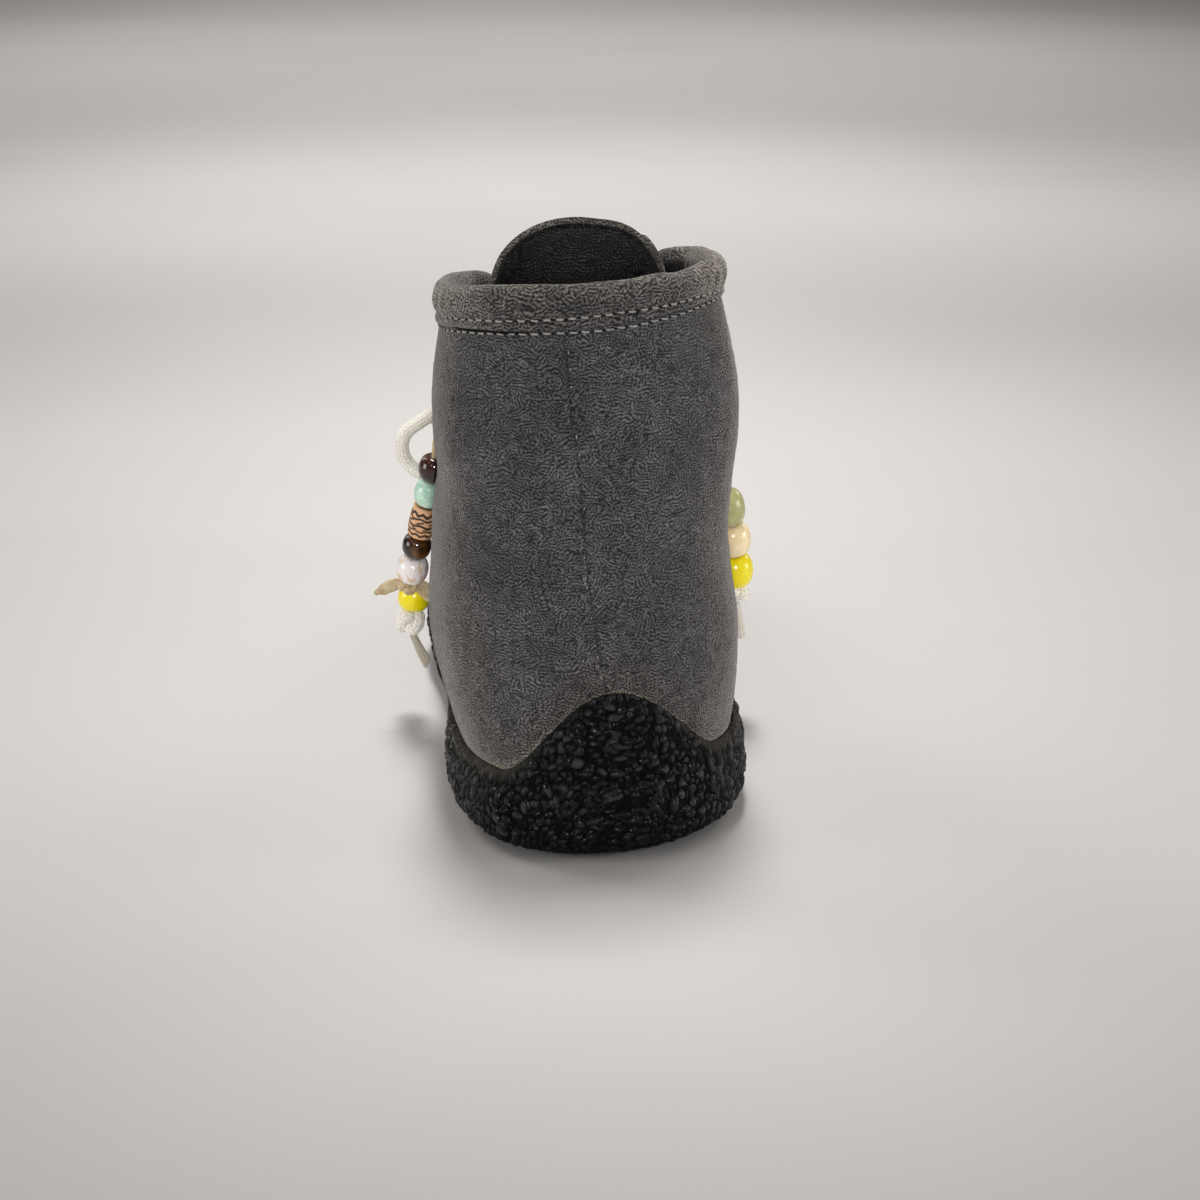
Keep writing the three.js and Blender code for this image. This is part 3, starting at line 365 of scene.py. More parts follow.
# ------------------------------------------------------------------------------------------------ mesh helpers
def make(name, verts, quads, material, tris=None, attrs=None, uv=None, uv_loops=None, shade=True):
    """A mesh object from arrays in millimetres."""
    me = bpy.data.meshes.new(name)
    verts = np.asarray(verts, np.float32).reshape(-1, 3) * MM
    quads = np.asarray(quads, np.int32).reshape(-1, 4)
    tris = np.zeros((0, 3), np.int32) if tris is None else np.asarray(tris, np.int32).reshape(-1, 3)
    loops = np.concatenate([quads.ravel(), tris.ravel()])
    totals = np.concatenate([np.full(len(quads), 4), np.full(len(tris), 3)]).astype(np.int32)
    starts = np.concatenate([[0], np.cumsum(totals)[:-1]]).astype(np.int32)
    me.vertices.add(len(verts))
    me.vertices.foreach_set("co", verts.ravel())
    me.loops.add(len(loops))
    me.loops.foreach_set("vertex_index", loops)
    me.polygons.add(len(totals))
    me.polygons.foreach_set("loop_start", starts)
    me.polygons.foreach_set("loop_total", totals)
    if uv is not None:
        layer = me.uv_layers.new(name="UVMap")
        layer.data.foreach_set("uv", np.asarray(uv, np.float32).reshape(-1, 2)[loops].ravel())
    if uv_loops is not None:
        me.uv_layers.new(name="UVMap").data.foreach_set("uv", np.asarray(uv_loops, np.float32).ravel())
    for key, value in (attrs or {}).items():
        at = me.attributes.new(key, "FLOAT", "POINT")
        at.data.foreach_set("value", np.asarray(value, np.float32).ravel())
    me.update(calc_edges=True)
    me.validate()
    if shade:
        me.shade_smooth()
    ob = bpy.data.objects.new(name, me)
    scene.collection.objects.link(ob)
    if material is not None:
        me.materials.append(material)
    return ob


def grid_quads(n, m, wrap_n=False, wrap_m=False, flip=False, base=0):
    i = np.arange(n if wrap_n else n - 1)
    j = np.arange(m if wrap_m else m - 1)
    I, J = np.meshgrid(i, j, indexing="ij")
    I2, J2 = (I + 1) % n, (J + 1) % m
    q = np.stack([I * m + J, I2 * m + J, I2 * m + J2, I * m + J2], -1).reshape(-1, 4) + base
    return q[:, ::-1] if flip else q


def volume_sign(verts, quads):
    v = np.asarray(verts, float).reshape(-1, 3)
    a, b, c, d = (v[quads[:, k]] for k in range(4))
    return np.sign((a * np.cross(b, c)).sum() + (a * np.cross(c, d)).sum())


def torus(name, P, material, attrs=None, uv=None):
    """Closed surface from rings P (n, m, 3), wrapped both ways."""
    q = grid_quads(P.shape[0], P.shape[1], True, True)
    if volume_sign(P, q) < 0:
        q = q[:, ::-1]
    return make(name, P, q, material, attrs=attrs, uv=uv)


def bar(name, P, material, attrs=None, uv=None):
    """Rings P (n, m, 3) wrapped round, closed at both ends by fans to the ring's middle."""
    n, m = P.shape[:2]
    verts = P.reshape(-1, 3)
    c0, c1 = P[0].mean(0), P[-1].mean(0)
    verts = np.concatenate([verts, [c0, c1]])
    q = grid_quads(n, m, False, True)
    j = np.arange(m)
    t0 = np.stack([np.full(m, n * m), j, (j + 1) % m], -1)
    t1 = np.stack([np.full(m, n * m + 1), (n - 1) * m + (j + 1) % m, (n - 1) * m + j], -1)
    a, b, c, d = (verts[q[:, k]] for k in range(4))
    if (a * np.cross(b, c)).sum() + (a * np.cross(c, d)).sum() < 0:
        q, t0, t1 = q[:, ::-1], t0[:, ::-1], t1[:, ::-1]
    if attrs:
        attrs = {k: np.concatenate([np.asarray(v).ravel(), [np.asarray(v).reshape(n, m)[0].mean(), np.asarray(v).reshape(n, m)[-1].mean()]]) for k, v in attrs.items()}
    return make(name, verts, q, material, tris=np.concatenate([t0, t1]), attrs=attrs, uv=uv)


def catmull(points, samples, alpha=0.5):
    """three.js CatmullRomCurve3 with centripetal knots, open; samples are u from 0 to 1 over the segments."""
    P = np.asarray(points, float)
    n = len(P)
    out = []
    for u in samples:
        p = (n - 1) * u
        i = min(int(math.floor(p)), n - 2)
        t = p - i
        p1, p2 = P[i], P[i + 1]
        p0 = P[i - 1] if i > 0 else p1 - (P[1] - P[0])
        p3 = P[i + 2] if i + 2 < n else p2 + (P[n - 1] - P[n - 2])
        d0, d1, d2 = (max(((b - a) ** 2).sum() ** 0.25, 1e-4) for a, b in ((p0, p1), (p1, p2), (p2, p3)))
        if d1 < 1e-4:
            d1 = 1.0
        m1 = ((p1 - p0) / d0 - (p2 - p0) / (d0 + d1) + (p2 - p1) / d1) * d1
        m2 = ((p2 - p1) / d1 - (p3 - p1) / (d1 + d2) + (p3 - p2) / d2) * d1
        out.append(p1 + m1 * t + (-3 * p1 + 3 * p2 - 2 * m1 - m2) * t * t + (2 * p1 - 2 * p2 + m1 + m2) * t**3)
    return np.array(out)


def resample(P, step=None, count=None):
    """Points along a polyline at equal arc length."""
    seg = np.linalg.norm(np.diff(P, axis=0), axis=1)
    s = np.concatenate([[0], np.cumsum(seg)])
    n = count or max(2, int(round(s[-1] / step)) + 1)
    t = np.linspace(0, s[-1], n)
    return np.stack([np.interp(t, s, P[:, k]) for k in range(P.shape[1])], -1), s[-1]


def frames(P):
    """Rotation-minimising frames along a path: tangent, side and up."""
    T = unit(np.gradient(P, axis=0))
    up = np.array([0, 0, 1.0])
    if abs(T[0] @ up) > 0.9:
        up = np.array([0, 1.0, 0])
    U = [unit(np.cross(T[0], np.cross(up, T[0])))]
    for i in range(1, len(P)):
        u = U[-1] - T[i] * (U[-1] @ T[i])
        U.append(u / np.linalg.norm(u))
    U = np.array(U)
    return T, np.cross(T, U), U


def tube(P, radius, sides, relief=None):
    """Rings of a tube: radius is a number or one per point; relief(s, angle) is added to it."""
    T, S, U = frames(P)
    seg = np.linalg.norm(np.diff(P, axis=0), axis=1)
    s = np.concatenate([[0], np.cumsum(seg)])
    a = np.linspace(0, 2 * np.pi, sides, endpoint=False)
    R = np.broadcast_to(np.asarray(radius, float).reshape(-1, 1), (len(P), sides)).copy()
    if relief is not None:
        R = R + relief(s[:, None], a[None, :])
    return P[:, None] + R[..., None] * (np.cos(a)[None, :, None] * S[:, None] + np.sin(a)[None, :, None] * U[:, None])


def oval(P, half_w, half_t, sides, wide, relief=None):
    """Rings of a flat tube whose broad side lies along the direction wide."""
    T = unit(np.gradient(P, axis=0))
    wide = np.broadcast_to(np.asarray(wide, float), P.shape)
    S = unit(wide - T * (wide * T).sum(1)[:, None])
    U = np.cross(T, S)
    seg = np.linalg.norm(np.diff(P, axis=0), axis=1)
    s = np.concatenate([[0], np.cumsum(seg)])
    a = np.linspace(0, 2 * np.pi, sides, endpoint=False)
    w = np.broadcast_to(np.asarray(half_w, float).reshape(-1, 1), (len(P), 1))
    t = np.broadcast_to(np.asarray(half_t, float).reshape(-1, 1), (len(P), 1))
    ca, sa = np.cos(a)[None], np.sin(a)[None]
    ca, sa = np.sign(ca) * np.abs(ca) ** 0.85, np.sign(sa) * np.abs(sa) ** 0.85
    r = relief(s[:, None], a[None, :]) if relief is not None else 0.0
    X, Y = (w + r) * ca, (t + r) * sa
    return P[:, None] + X[..., None] * S[:, None] + Y[..., None] * U[:, None]


def tube_mesh(name, P, material, round_ends=True, attrs=None, more=None):
    """Closed tube from rings P (n, m, 3) with UV: round it 0 to 1, along it in millimetres. more: other tubes joined in."""
    V, Q, T3, UQ, UT = [], [], [], [], []
    base = 0
    for R in [P] + list(more or []):
        n, m = R.shape[:2]
        mid = R.mean(1)
        s = np.concatenate([[0], np.cumsum(np.linalg.norm(np.diff(mid, axis=0), axis=1))])
        if round_ends:  # domed ends
            head, tail = [], []
            for k in (0.35, 0.7, 0.93):
                f = math.sqrt(1 - k * k)
                r0 = np.linalg.norm(R[0] - mid[0], axis=1).mean()
                d0, d1 = unit(mid[0] - mid[1]), unit(mid[-1] - mid[-2])
                r1 = np.linalg.norm(R[-1] - mid[-1], axis=1).mean()
                head.append(mid[0] + (R[0] - mid[0]) * f + d0 * r0 * k * 0.8)
                tail.append(mid[-1] + (R[-1] - mid[-1]) * f + d1 * r1 * k * 0.8)
            R = np.concatenate([np.array(head)[::-1], R, np.array(tail)])
            s = np.concatenate([[-1.2, -0.9, -0.5], s, s[-1] + np.array([0.5, 0.9, 1.2])])
            n = len(R)
        c0, c1 = R[0].mean(0), R[-1].mean(0)
        verts = np.concatenate([R.reshape(-1, 3), [c0, c1]])
        I, J = np.meshgrid(np.arange(n - 1), np.arange(m), indexing="ij")
        J2 = (J + 1) % m
        q = np.stack([I * m + J, (I + 1) * m + J, (I + 1) * m + J2, I * m + J2], -1).reshape(-1, 4)
        uq = np.stack([np.stack([J / m, s[I]], -1), np.stack([J / m, s[I + 1]], -1), np.stack([(J + 1) / m, s[I + 1]], -1), np.stack([(J + 1) / m, s[I]], -1)], -2).reshape(-1, 4, 2)
        j = np.arange(m)
        t0 = np.stack([np.full(m, n * m), j, (j + 1) % m], -1)
        t1 = np.stack([np.full(m, n * m + 1), (n - 1) * m + (j + 1) % m, (n - 1) * m + j], -1)
        u0 = np.stack([np.stack([(j + 0.5) / m, np.full(m, s[0])], -1), np.stack([j / m, np.full(m, s[0])], -1), np.stack([(j + 1) / m, np.full(m, s[0])], -1)], 1)
        u1 = np.stack([np.stack([(j + 0.5) / m, np.full(m, s[-1])], -1), np.stack([(j + 1) / m, np.full(m, s[-1])], -1), np.stack([j / m, np.full(m, s[-1])], -1)], 1)
        a, b, c, d = (verts[q[:, k]] - c0 for k in range(4))
        if (a * np.cross(b, c)).sum() + (a * np.cross(c, d)).sum() < 0:
            q, t0, t1, uq, u0, u1 = q[:, ::-1], t0[:, ::-1], t1[:, ::-1], uq[:, ::-1], u0[:, ::-1], u1[:, ::-1]
        V.append(verts)
        Q.append(q + base)
        T3.append(np.concatenate([t0, t1]) + base)
        UQ.append(uq.reshape(-1, 2))
        UT.append(np.concatenate([u0, u1]).reshape(-1, 2))
        base += len(verts)
    uvl = np.concatenate(UQ + UT)
    return make(name, np.concatenate(V), np.concatenate(Q), material, tris=np.concatenate(T3), attrs=attrs, uv_loops=uvl)


def ride(ob):
    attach(ob, "root")
    return ob


# ------------------------------------------------------------------------------------------------ materials
class Look:
    """A node material: a Principled shader and short ways to add nodes in front of it."""

    def __init__(self, name):
        self.m = bpy.data.materials.new(name)
        self.m.use_nodes = True
        self.t = self.m.node_tree
        self.t.nodes.clear()
        self.out = self.new("OutputMaterial")
        self.b = self.new("BsdfPrincipled")
        self.t.links.new(self.b.outputs[0], self.out.inputs["Surface"])
        coord = self.new("TexCoord")
        self.uv = coord.outputs["UV"]
        self.p = self.vmath("SCALE", coord.outputs["Object"], scale=1000.0)  # millimetres

    def new(self, kind, props=None, **ins):
        n = self.t.nodes.new("ShaderNode" + kind)
        for k, v in (props or {}).items():
            setattr(n, k, v)
        for k, v in ins.items():
            self.put(n.inputs[k.replace("_", " ")], v)
        return n

    def put(self, socket, value):
        if isinstance(value, bpy.types.NodeSocket):
            self.t.links.new(value, socket)
        else:
            socket.default_value = value

    def set(self, **ins):
        for k, v in ins.items():
            self.put(self.b.inputs[k.replace("_", " ")], v)
        return self

    def math(self, op, a, b=0.0, c=0.0, clamp=False):
        n = self.new("Math", {"operation": op, "use_clamp": clamp})
        for i, v in enumerate((a, b, c)):
            self.put(n.inputs[i], v)
        return n.outputs[0]

    def vmath(self, op, a, b=None, scale=None):
        n = self.new("VectorMath", {"operation": op})
        self.put(n.inputs[0], a)
        if b is not None:
            self.put(n.inputs[1], b)
        if scale is not None:
            self.put(n.inputs["Scale"], scale)
        return n.outputs[0]

    def stretch(self, v, sx, sy, sz):
        return self.vmath("MULTIPLY", v, (sx, sy, sz))

    def attr(self, name):
        return self.new("Attribute", {"attribute_name": name}).outputs["Fac"]

    def noise(self, v, scale, detail=2.0, rough=0.5, distortion=0.0, out="Fac"):
        n = self.new("TexNoise", Vector=v, Scale=scale, Detail=detail, Roughness=rough, Distortion=distortion)
        return n.outputs[out]

    def voronoi(self, v, scale, feature="F1", out="Distance", rand=1.0):
        n = self.new("TexVoronoi", {"feature": feature}, Vector=v, Scale=scale, Randomness=rand)
        return n.outputs[out]

    def step(self, x, a, b, lo=0.0, hi=1.0, smooth_=True):
        n = self.new("MapRange", {"interpolation_type": "SMOOTHSTEP" if smooth_ else "LINEAR"})
        for k, v in (("Value", x), ("From Min", a), ("From Max", b), ("To Min", lo), ("To Max", hi)):
            self.put(n.inputs[k], v)
        return n.outputs[0]

    def mix(self, f, a, b, kind="MIX"):
        n = self.new("Mix", {"data_type": "RGBA", "blend_type": kind})
        self.put(n.inputs[0], f)
        for i, v in ((6, a), (7, b)):
            self.put(n.inputs[i], (*v, 1.0) if isinstance(v, tuple) and len(v) == 3 else v)
        return n.outputs[2]

    def bump(self, height, distance, strength=1.0, normal=None):
        n = self.new("Bump", Height=height, Distance=distance * MM, Strength=strength)
        if normal is not None:
            self.put(n.inputs["Normal"], normal)
        return n.outputs[0]

    def split(self, v):
        n = self.new("SeparateXYZ", Vector=v)
        return n.outputs[0], n.outputs[1], n.outputs[2]


def suede(name, base=(0.0555, 0.054, 0.0555), light=1.0, pitch=3.35, depth=1.0):
    """Dark grey split suede: worm-like nap, soft blotches, painted glint specks, a fuzzy edge that catches light."""
    k = Look(name)
    warp = k.new("TexNoise", Vector=k.p, Scale=0.16, Detail=2.0)
    p = k.vmath("ADD", k.p, k.vmath("SCALE", warp.outputs["Color"], scale=3.0))
    nap = k.new("TexGabor", {"gabor_type": "3D"}, Vector=p, Scale=0.36, Frequency=pitch, Anisotropy=0.0).outputs["Value"]
    grit = k.noise(k.p, 1.6, 3.0, 0.6)
    speck = k.voronoi(k.p, 0.9)
    blotch = k.noise(k.p, 0.055, 4.0, 0.55)
    patch = k.noise(k.p, 0.26, 2.0)
    height = k.math("ADD", k.math("MULTIPLY", nap, 0.75), k.math("MULTIPLY", grit, 0.55))
    shade = k.step(nap, 0.36, 0.68, 1 - 0.68 * depth, 1 + 0.9 * depth)
    shade = k.math("MULTIPLY", shade, k.step(grit, 0.3, 0.7, 0.66, 1.34))
    shade = k.math("MULTIPLY", shade, k.step(blotch, 0.3, 0.7, 0.8, 1.2))
    shade = k.math("MULTIPLY", shade, k.step(patch, 0.3, 0.7, 0.82, 1.18))
    # painted highlight: small pale specks mixed into the colour as glints
    glint = k.step(speck, 0.09, 0.16, 1.0, 0.0)
    # the 'warm' colour: dust on the upper; painted light on the collar roll and along the tongue's rim; a lighter top
    # on the moc seam
    warm = k.attr("warm")
    col = k.mix(warm, base, (0.098 * light, 0.087 * light, 0.075 * light))
    # painted shade: darkened towards near-black in holes, grooves and folds
    col = k.mix(k.attr("painted_shade"), col, (0.006, 0.006, 0.007))
    col = k.mix(k.attr("edge"), col, (0.2, 0.17, 0.135))
    col = k.mix(k.math("MULTIPLY", glint, 0.5), col, (0.27, 0.26, 0.25))
    n = k.new("VectorMath", {"operation": "SCALE"})
    k.put(n.inputs[0], col)
    k.put(n.inputs["Scale"], shade)
    k.set(
        Base_Color=n.outputs[0],
        Roughness=0.93,
        Normal=k.bump(height, 0.5, 0.95),
        Sheen_Weight=0.38,
        Sheen_Roughness=0.36,
        Sheen_Tint=(1.0, 0.95, 0.89, 1.0),
    )
    k.put(k.b.inputs["Specular IOR Level"], 0.18)
    return k.m


def crepe():
    """Black crepe rubber: glossy lumps lit at their crowns by painted highlight, matt near-black crevices of painted
    shade, painted shade towards the bottom, a little dust in the folds.
    """
    k = Look("crepe_rubber")
    fine = k.noise(k.p, 1.3, 3.0, 0.6)
    creases = k.voronoi(k.vmath("ADD", k.p, k.vmath("SCALE", k.new("TexNoise", Vector=k.p, Scale=0.5).outputs["Color"], scale=1.6)), 0.62, "DISTANCE_TO_EDGE")
    lump = k.attr("lump")
    low = k.attr("low")
    height = k.math("ADD", k.math("MULTIPLY", fine, 0.13), k.step(creases, 0.0, 0.12, 0.0, 0.16))
    dust = k.math("MULTIPLY", k.attr("dust"), k.step(k.noise(k.p, 0.35, 3.0), 0.25, 0.7, 0.5, 1.0))
    # painted shade: lumps darker towards the bottom of the wall
    tone = k.math("MULTIPLY", k.attr("tone"), k.math("SUBTRACT", 1.0, k.math("MULTIPLY", low, 0.9)))
    # painted shade: the crevices between lumps near-black and matt
    crevice_shade = k.math("MULTIPLY", k.step(lump, 0.26, 0.58), k.step(creases, 0.02, 0.1, 0.45, 1.0))
    # painted highlight: each lump lighter at its crown, darker to its sides
    top = k.mix(k.math("MULTIPLY", k.step(tone, 0.2, 1.0, 0.0, 0.85), k.step(lump, 0.5, 0.98, 0.3, 1.0)), (0.0032, 0.0035, 0.005), (0.05, 0.0525, 0.06))
    col = k.mix(crevice_shade, (0.0002, 0.0002, 0.0004), top)
    col = k.mix(k.math("MULTIPLY", dust, k.step(lump, 0.1, 0.5, 0.55, 1.0)), col, (0.068, 0.062, 0.051))
    rough = k.step(k.noise(k.p, 0.9, 2.0), 0.3, 0.7, 0.12, 0.27)
    rough = k.math("ADD", rough, k.math("ADD", k.math("MULTIPLY", dust, 0.35), k.math("MULTIPLY", low, 0.1)), clamp=True)
    rough = k.math("MAXIMUM", rough, k.step(crevice_shade, 0.2, 0.8, 0.98, 0.2))
    k.set(Base_Color=col, Roughness=rough, Normal=k.bump(height, 0.4, 0.7))
    k.put(k.b.inputs["Specular IOR Level"], 0.17)
    return k.m


def lining():
    """Black napped leather that lines the boot and the tongue."""
    k = Look("lining_leather")
    warp = k.vmath("ADD", k.p, k.vmath("SCALE", k.new("TexNoise", Vector=k.p, Scale=0.16, Detail=2.0).outputs["Color"], scale=3.0))
    nap = k.new("TexGabor", {"gabor_type": "3D"}, Vector=warp, Scale=0.34, Frequency=3.3, Anisotropy=0.0).outputs["Value"]
    fine = k.noise(k.p, 2.0, 3.0, 0.6)
    height = k.math("ADD", k.math("MULTIPLY", nap, 0.8), k.math("MULTIPLY", fine, 0.4))
    col = k.mix(k.step(nap, 0.47, 0.67), (0.0005, 0.0005, 0.0007), (0.052, 0.05, 0.052))
    col = k.mix(k.step(k.noise(k.p, 0.12, 3.0), 0.35, 0.7, 0.0, 0.5), col, (0.0055, 0.005, 0.005))
    k.set(Base_Color=col, Roughness=k.step(fine, 0.3, 0.7, 0.45, 0.75), Normal=k.bump(height, 0.5, 0.9), Sheen_Weight=0.06, Sheen_Roughness=0.4)
    k.put(k.b.inputs["Specular IOR Level"], 0.3)
    return k.m


def felt():
    k = Look("insole_felt")
    a = k.noise(k.stretch(k.p, 1.0, 0.45, 1.0), 1.3, 4.0, 0.7)
    b = k.noise(k.p, 0.08, 3.0)
    col = k.mix(k.step(a, 0.3, 0.7), (0.03, 0.027, 0.025), (0.085, 0.078, 0.07))
    col = k.mix(k.step(b, 0.35, 0.7, 0.0, 0.6), col, (0.02, 0.019, 0.018))
    k.set(Base_Color=col, Roughness=0.95, Normal=k.bump(a, 0.3, 0.8), Sheen_Weight=0.2)
    return k.m


def braid(name, base=(0.97, 0.925, 0.84), columns=12, pitch=1.1):
    """Round braid. UV runs round the cord (0 to 1) and along it in millimetres."""
    k = Look(name)
    u, v, _ = k.split(k.uv)
    c = k.math("MULTIPLY", u, float(columns))
    x = k.math("SUBTRACT", k.math("FRACT", c), 0.5)
    odd = k.math("SUBTRACT", k.math("MULTIPLY", k.math("MODULO", k.math("FLOOR", c), 2.0), 2.0), 1.0)
    y = k.math("FRACT", k.math("ADD", k.math("DIVIDE", v, pitch), k.math("MULTIPLY", k.math("MULTIPLY", x, odd), 0.8)))
    grain = k.math("MULTIPLY", k.math("COSINE", k.math("MULTIPLY", x, 3.1)), k.math("SINE", k.math("MULTIPLY", y, math.pi)))
    threads = k.math("SINE", k.math("MULTIPLY", k.math("ADD", y, k.math("MULTIPLY", x, 0.2)), 18.0))
    fuzz = k.noise(k.p, 2.2, 3.0, 0.6)
    height = k.math("ADD", k.math("ADD", grain, k.math("MULTIPLY", threads, 0.06)), k.math("MULTIPLY", fuzz, 0.3))
    dirt = k.noise(k.p, 0.18, 3.0)
    # painted shade: the braid darker between its bumps
    painted_shade = tuple(0.76 * v_ for v_ in base)
    grime = (0.42 * base[0], 0.38 * base[1], 0.32 * base[2])
    col = k.mix(k.step(grain, 0.05, 0.6), painted_shade, base)
    col = k.mix(k.step(dirt, 0.58, 0.88, 0.0, 0.2), col, grime)
    # the lace tails past the knots darker: worn, and painted shade
    col = k.mix(k.attr("worn_and_shaded"), col, (0.5 * base[0], 0.475 * base[1], 0.43 * base[2]))
    k.set(
        Base_Color=col, Roughness=0.82, Normal=k.bump(height, 0.22, 0.9), Sheen_Weight=0.25, Sheen_Roughness=0.5,
        Subsurface_Weight=0.12, Subsurface_Radius=(1.0, 0.8, 0.6), Subsurface_Scale=0.0008,
    )
    k.put(k.b.inputs["Specular IOR Level"], 0.25)
    return k.m


def split_leather(name="thong_leather"):
    k = Look(name)
    fibre = k.noise(k.stretch(k.p, 1.0, 1.0, 0.35), 2.0, 4.0, 0.65)
    patch = k.noise(k.p, 0.3, 3.0)
    col = k.mix(k.step(fibre, 0.3, 0.7), (0.33, 0.24, 0.13), (0.6, 0.47, 0.29))
    col = k.mix(k.step(patch, 0.4, 0.7, 0.0, 0.6), col, (0.74, 0.62, 0.4))
    k.set(Base_Color=col, Roughness=0.88, Normal=k.bump(fibre, 0.25, 0.8), Sheen_Weight=0.15)
    k.put(k.b.inputs["Specular IOR Level"], 0.3)
    return k.m


def glass(name, base, second, scale=0.25, mixfrom=0.45, mixto=0.7, rough=0.1, stretch_=(1, 1, 1), amount=1.0, tint=0.0):
    """Gloss bead: clouded colour, fine scratches, a clear coat."""
    k = Look(name)
    cloud = k.noise(k.stretch(k.p, *stretch_), scale, 3.0, 0.55, 0.6)
    fine = k.noise(k.p, 3.0, 2.0)
    col = k.mix(k.step(cloud, mixfrom, mixto, 0.0, amount), base, second)
    k.set(
        Base_Color=col, Roughness=k.step(fine, 0.3, 0.7, rough, rough + 0.09), Normal=k.bump(k.noise(k.p, 0.6, 2.0), 0.05, 0.3),
        Coat_Weight=0.35, Coat_Roughness=0.05,
    )
    if tint:
        k.set(Subsurface_Weight=tint, Subsurface_Radius=(1.2, 0.9, 0.5), Subsurface_Scale=0.0015)
    return k.m


def carved_wood():
    k = Look("bead_wood")
    grain = k.noise(k.stretch(k.p, 1.0, 1.0, 0.3), 1.4, 3.0, 0.6)
    burn = k.attr("burn")
    col = k.mix(k.step(grain, 0.3, 0.7), (0.6, 0.33, 0.165), (0.8, 0.48, 0.26))
    col = k.mix(k.step(burn, 0.25, 0.7), col, (0.032, 0.012, 0.006))
    k.set(Base_Color=col, Roughness=k.step(burn, 0.2, 0.8, 0.42, 0.62), Normal=k.bump(grain, 0.1, 0.5), Coat_Weight=0.15, Coat_Roughness=0.35)
    return k.m


def thread(name, base=(0.4, 0.39, 0.375)):
    k = Look(name)
    t = k.noise(k.p, 2.6, 2.0)
    k.set(Base_Color=k.mix(k.step(t, 0.3, 0.7), tuple(0.62 * v for v in base), base), Roughness=0.75, Normal=k.bump(t, 0.1, 0.7))
    return k.m


# near-black matt material: painted shade in the needle holes, and the painted shadow under the collar's lip
def pit(name):
    k = Look(name)
    k.set(Base_Color=k.mix(k.noise(k.p, 1.5), (0.004, 0.004, 0.004), (0.012, 0.012, 0.012)), Roughness=0.95)
    k.put(k.b.inputs["Specular IOR Level"], 0.1)
    return k.m


SUEDE = suede("suede")
# the roll's 'warm' colour is lighter, to carry its painted top light
SUEDE_ROLL = suede("suede_roll", (0.057, 0.055, 0.0555), 1.65, 2.95, 1.12)
CREPE = crepe()
LINING = lining()
FELT = felt()
BRAID = braid("lace_cord")
BRAID_END = braid("lace_cord_ends", columns=10, pitch=1.0)
LEATHER = split_leather()
THREAD = thread("thread")
SHADE_BLACK = pit("needle_holes")


# ------------------------------------------------------------------------------------------------ cords and what is threaded on them
EYELET_LEVEL = 1.84
EYELETS = {"top": 57, "middle": 74, "low": 92}
TONGUE_THICK, TONGUE_CLEAR = 2.6, 0.9
ACROSS = np.array([-1, -0.84, -0.68, -0.5, -0.34, -0.17, 0, 0.17, 0.34, 0.5, 0.68, 0.84, 1])


def arch_at(y, m):
    """Section of the tongue's outer face between the facings, in the plane y."""
    q = 1 + y / THROAT_Y
    clear = TONGUE_CLEAR + (ROLL_IN + 0.7) * (1 - smooth(50, 68, y))
    at = lambda w, v: on_form(w, v, -(WALL + clear))
    left, right = at(q, 2.0), at(6 - q, 2.0)
    chord = np.linalg.norm(left - right) * m
    t0 = unit(left - at(q, 1.97)) * chord
    t1 = unit(at(6 - q, 1.97) - right) * chord
    out = []
    for u in ACROSS:
        if u < -0.6:
            out.append(at(q, 2 + (u + 0.6) * 0.62))
        elif u > 0.6:
            out.append(at(6 - q, 2 - (u - 0.6) * 0.62))
        else:
            t = (u + 0.6) / 1.2
            out.append(
                left * (2 * t**3 - 3 * t**2 + 1) + t0 * (t**3 - 2 * t**2 + t) + right * (-2 * t**3 + 3 * t**2) + t1 * (t**3 - t**2)
            )
    return np.array(out)


def on_tongue(y, u, lift):
    face = arch_at(y, 0.6)
    k = 6 + u * 3
    i = min(11, int(math.floor(k)))
    p = face[i] * (1 - (k - i)) + face[i + 1] * (k - i)
    across = face[i + 1] - face[i]
    along = arch_at(y + 2, 0.6)[i] - arch_at(y - 2, 0.6)[i]
    return p + unit(np.cross(across, along)) * lift


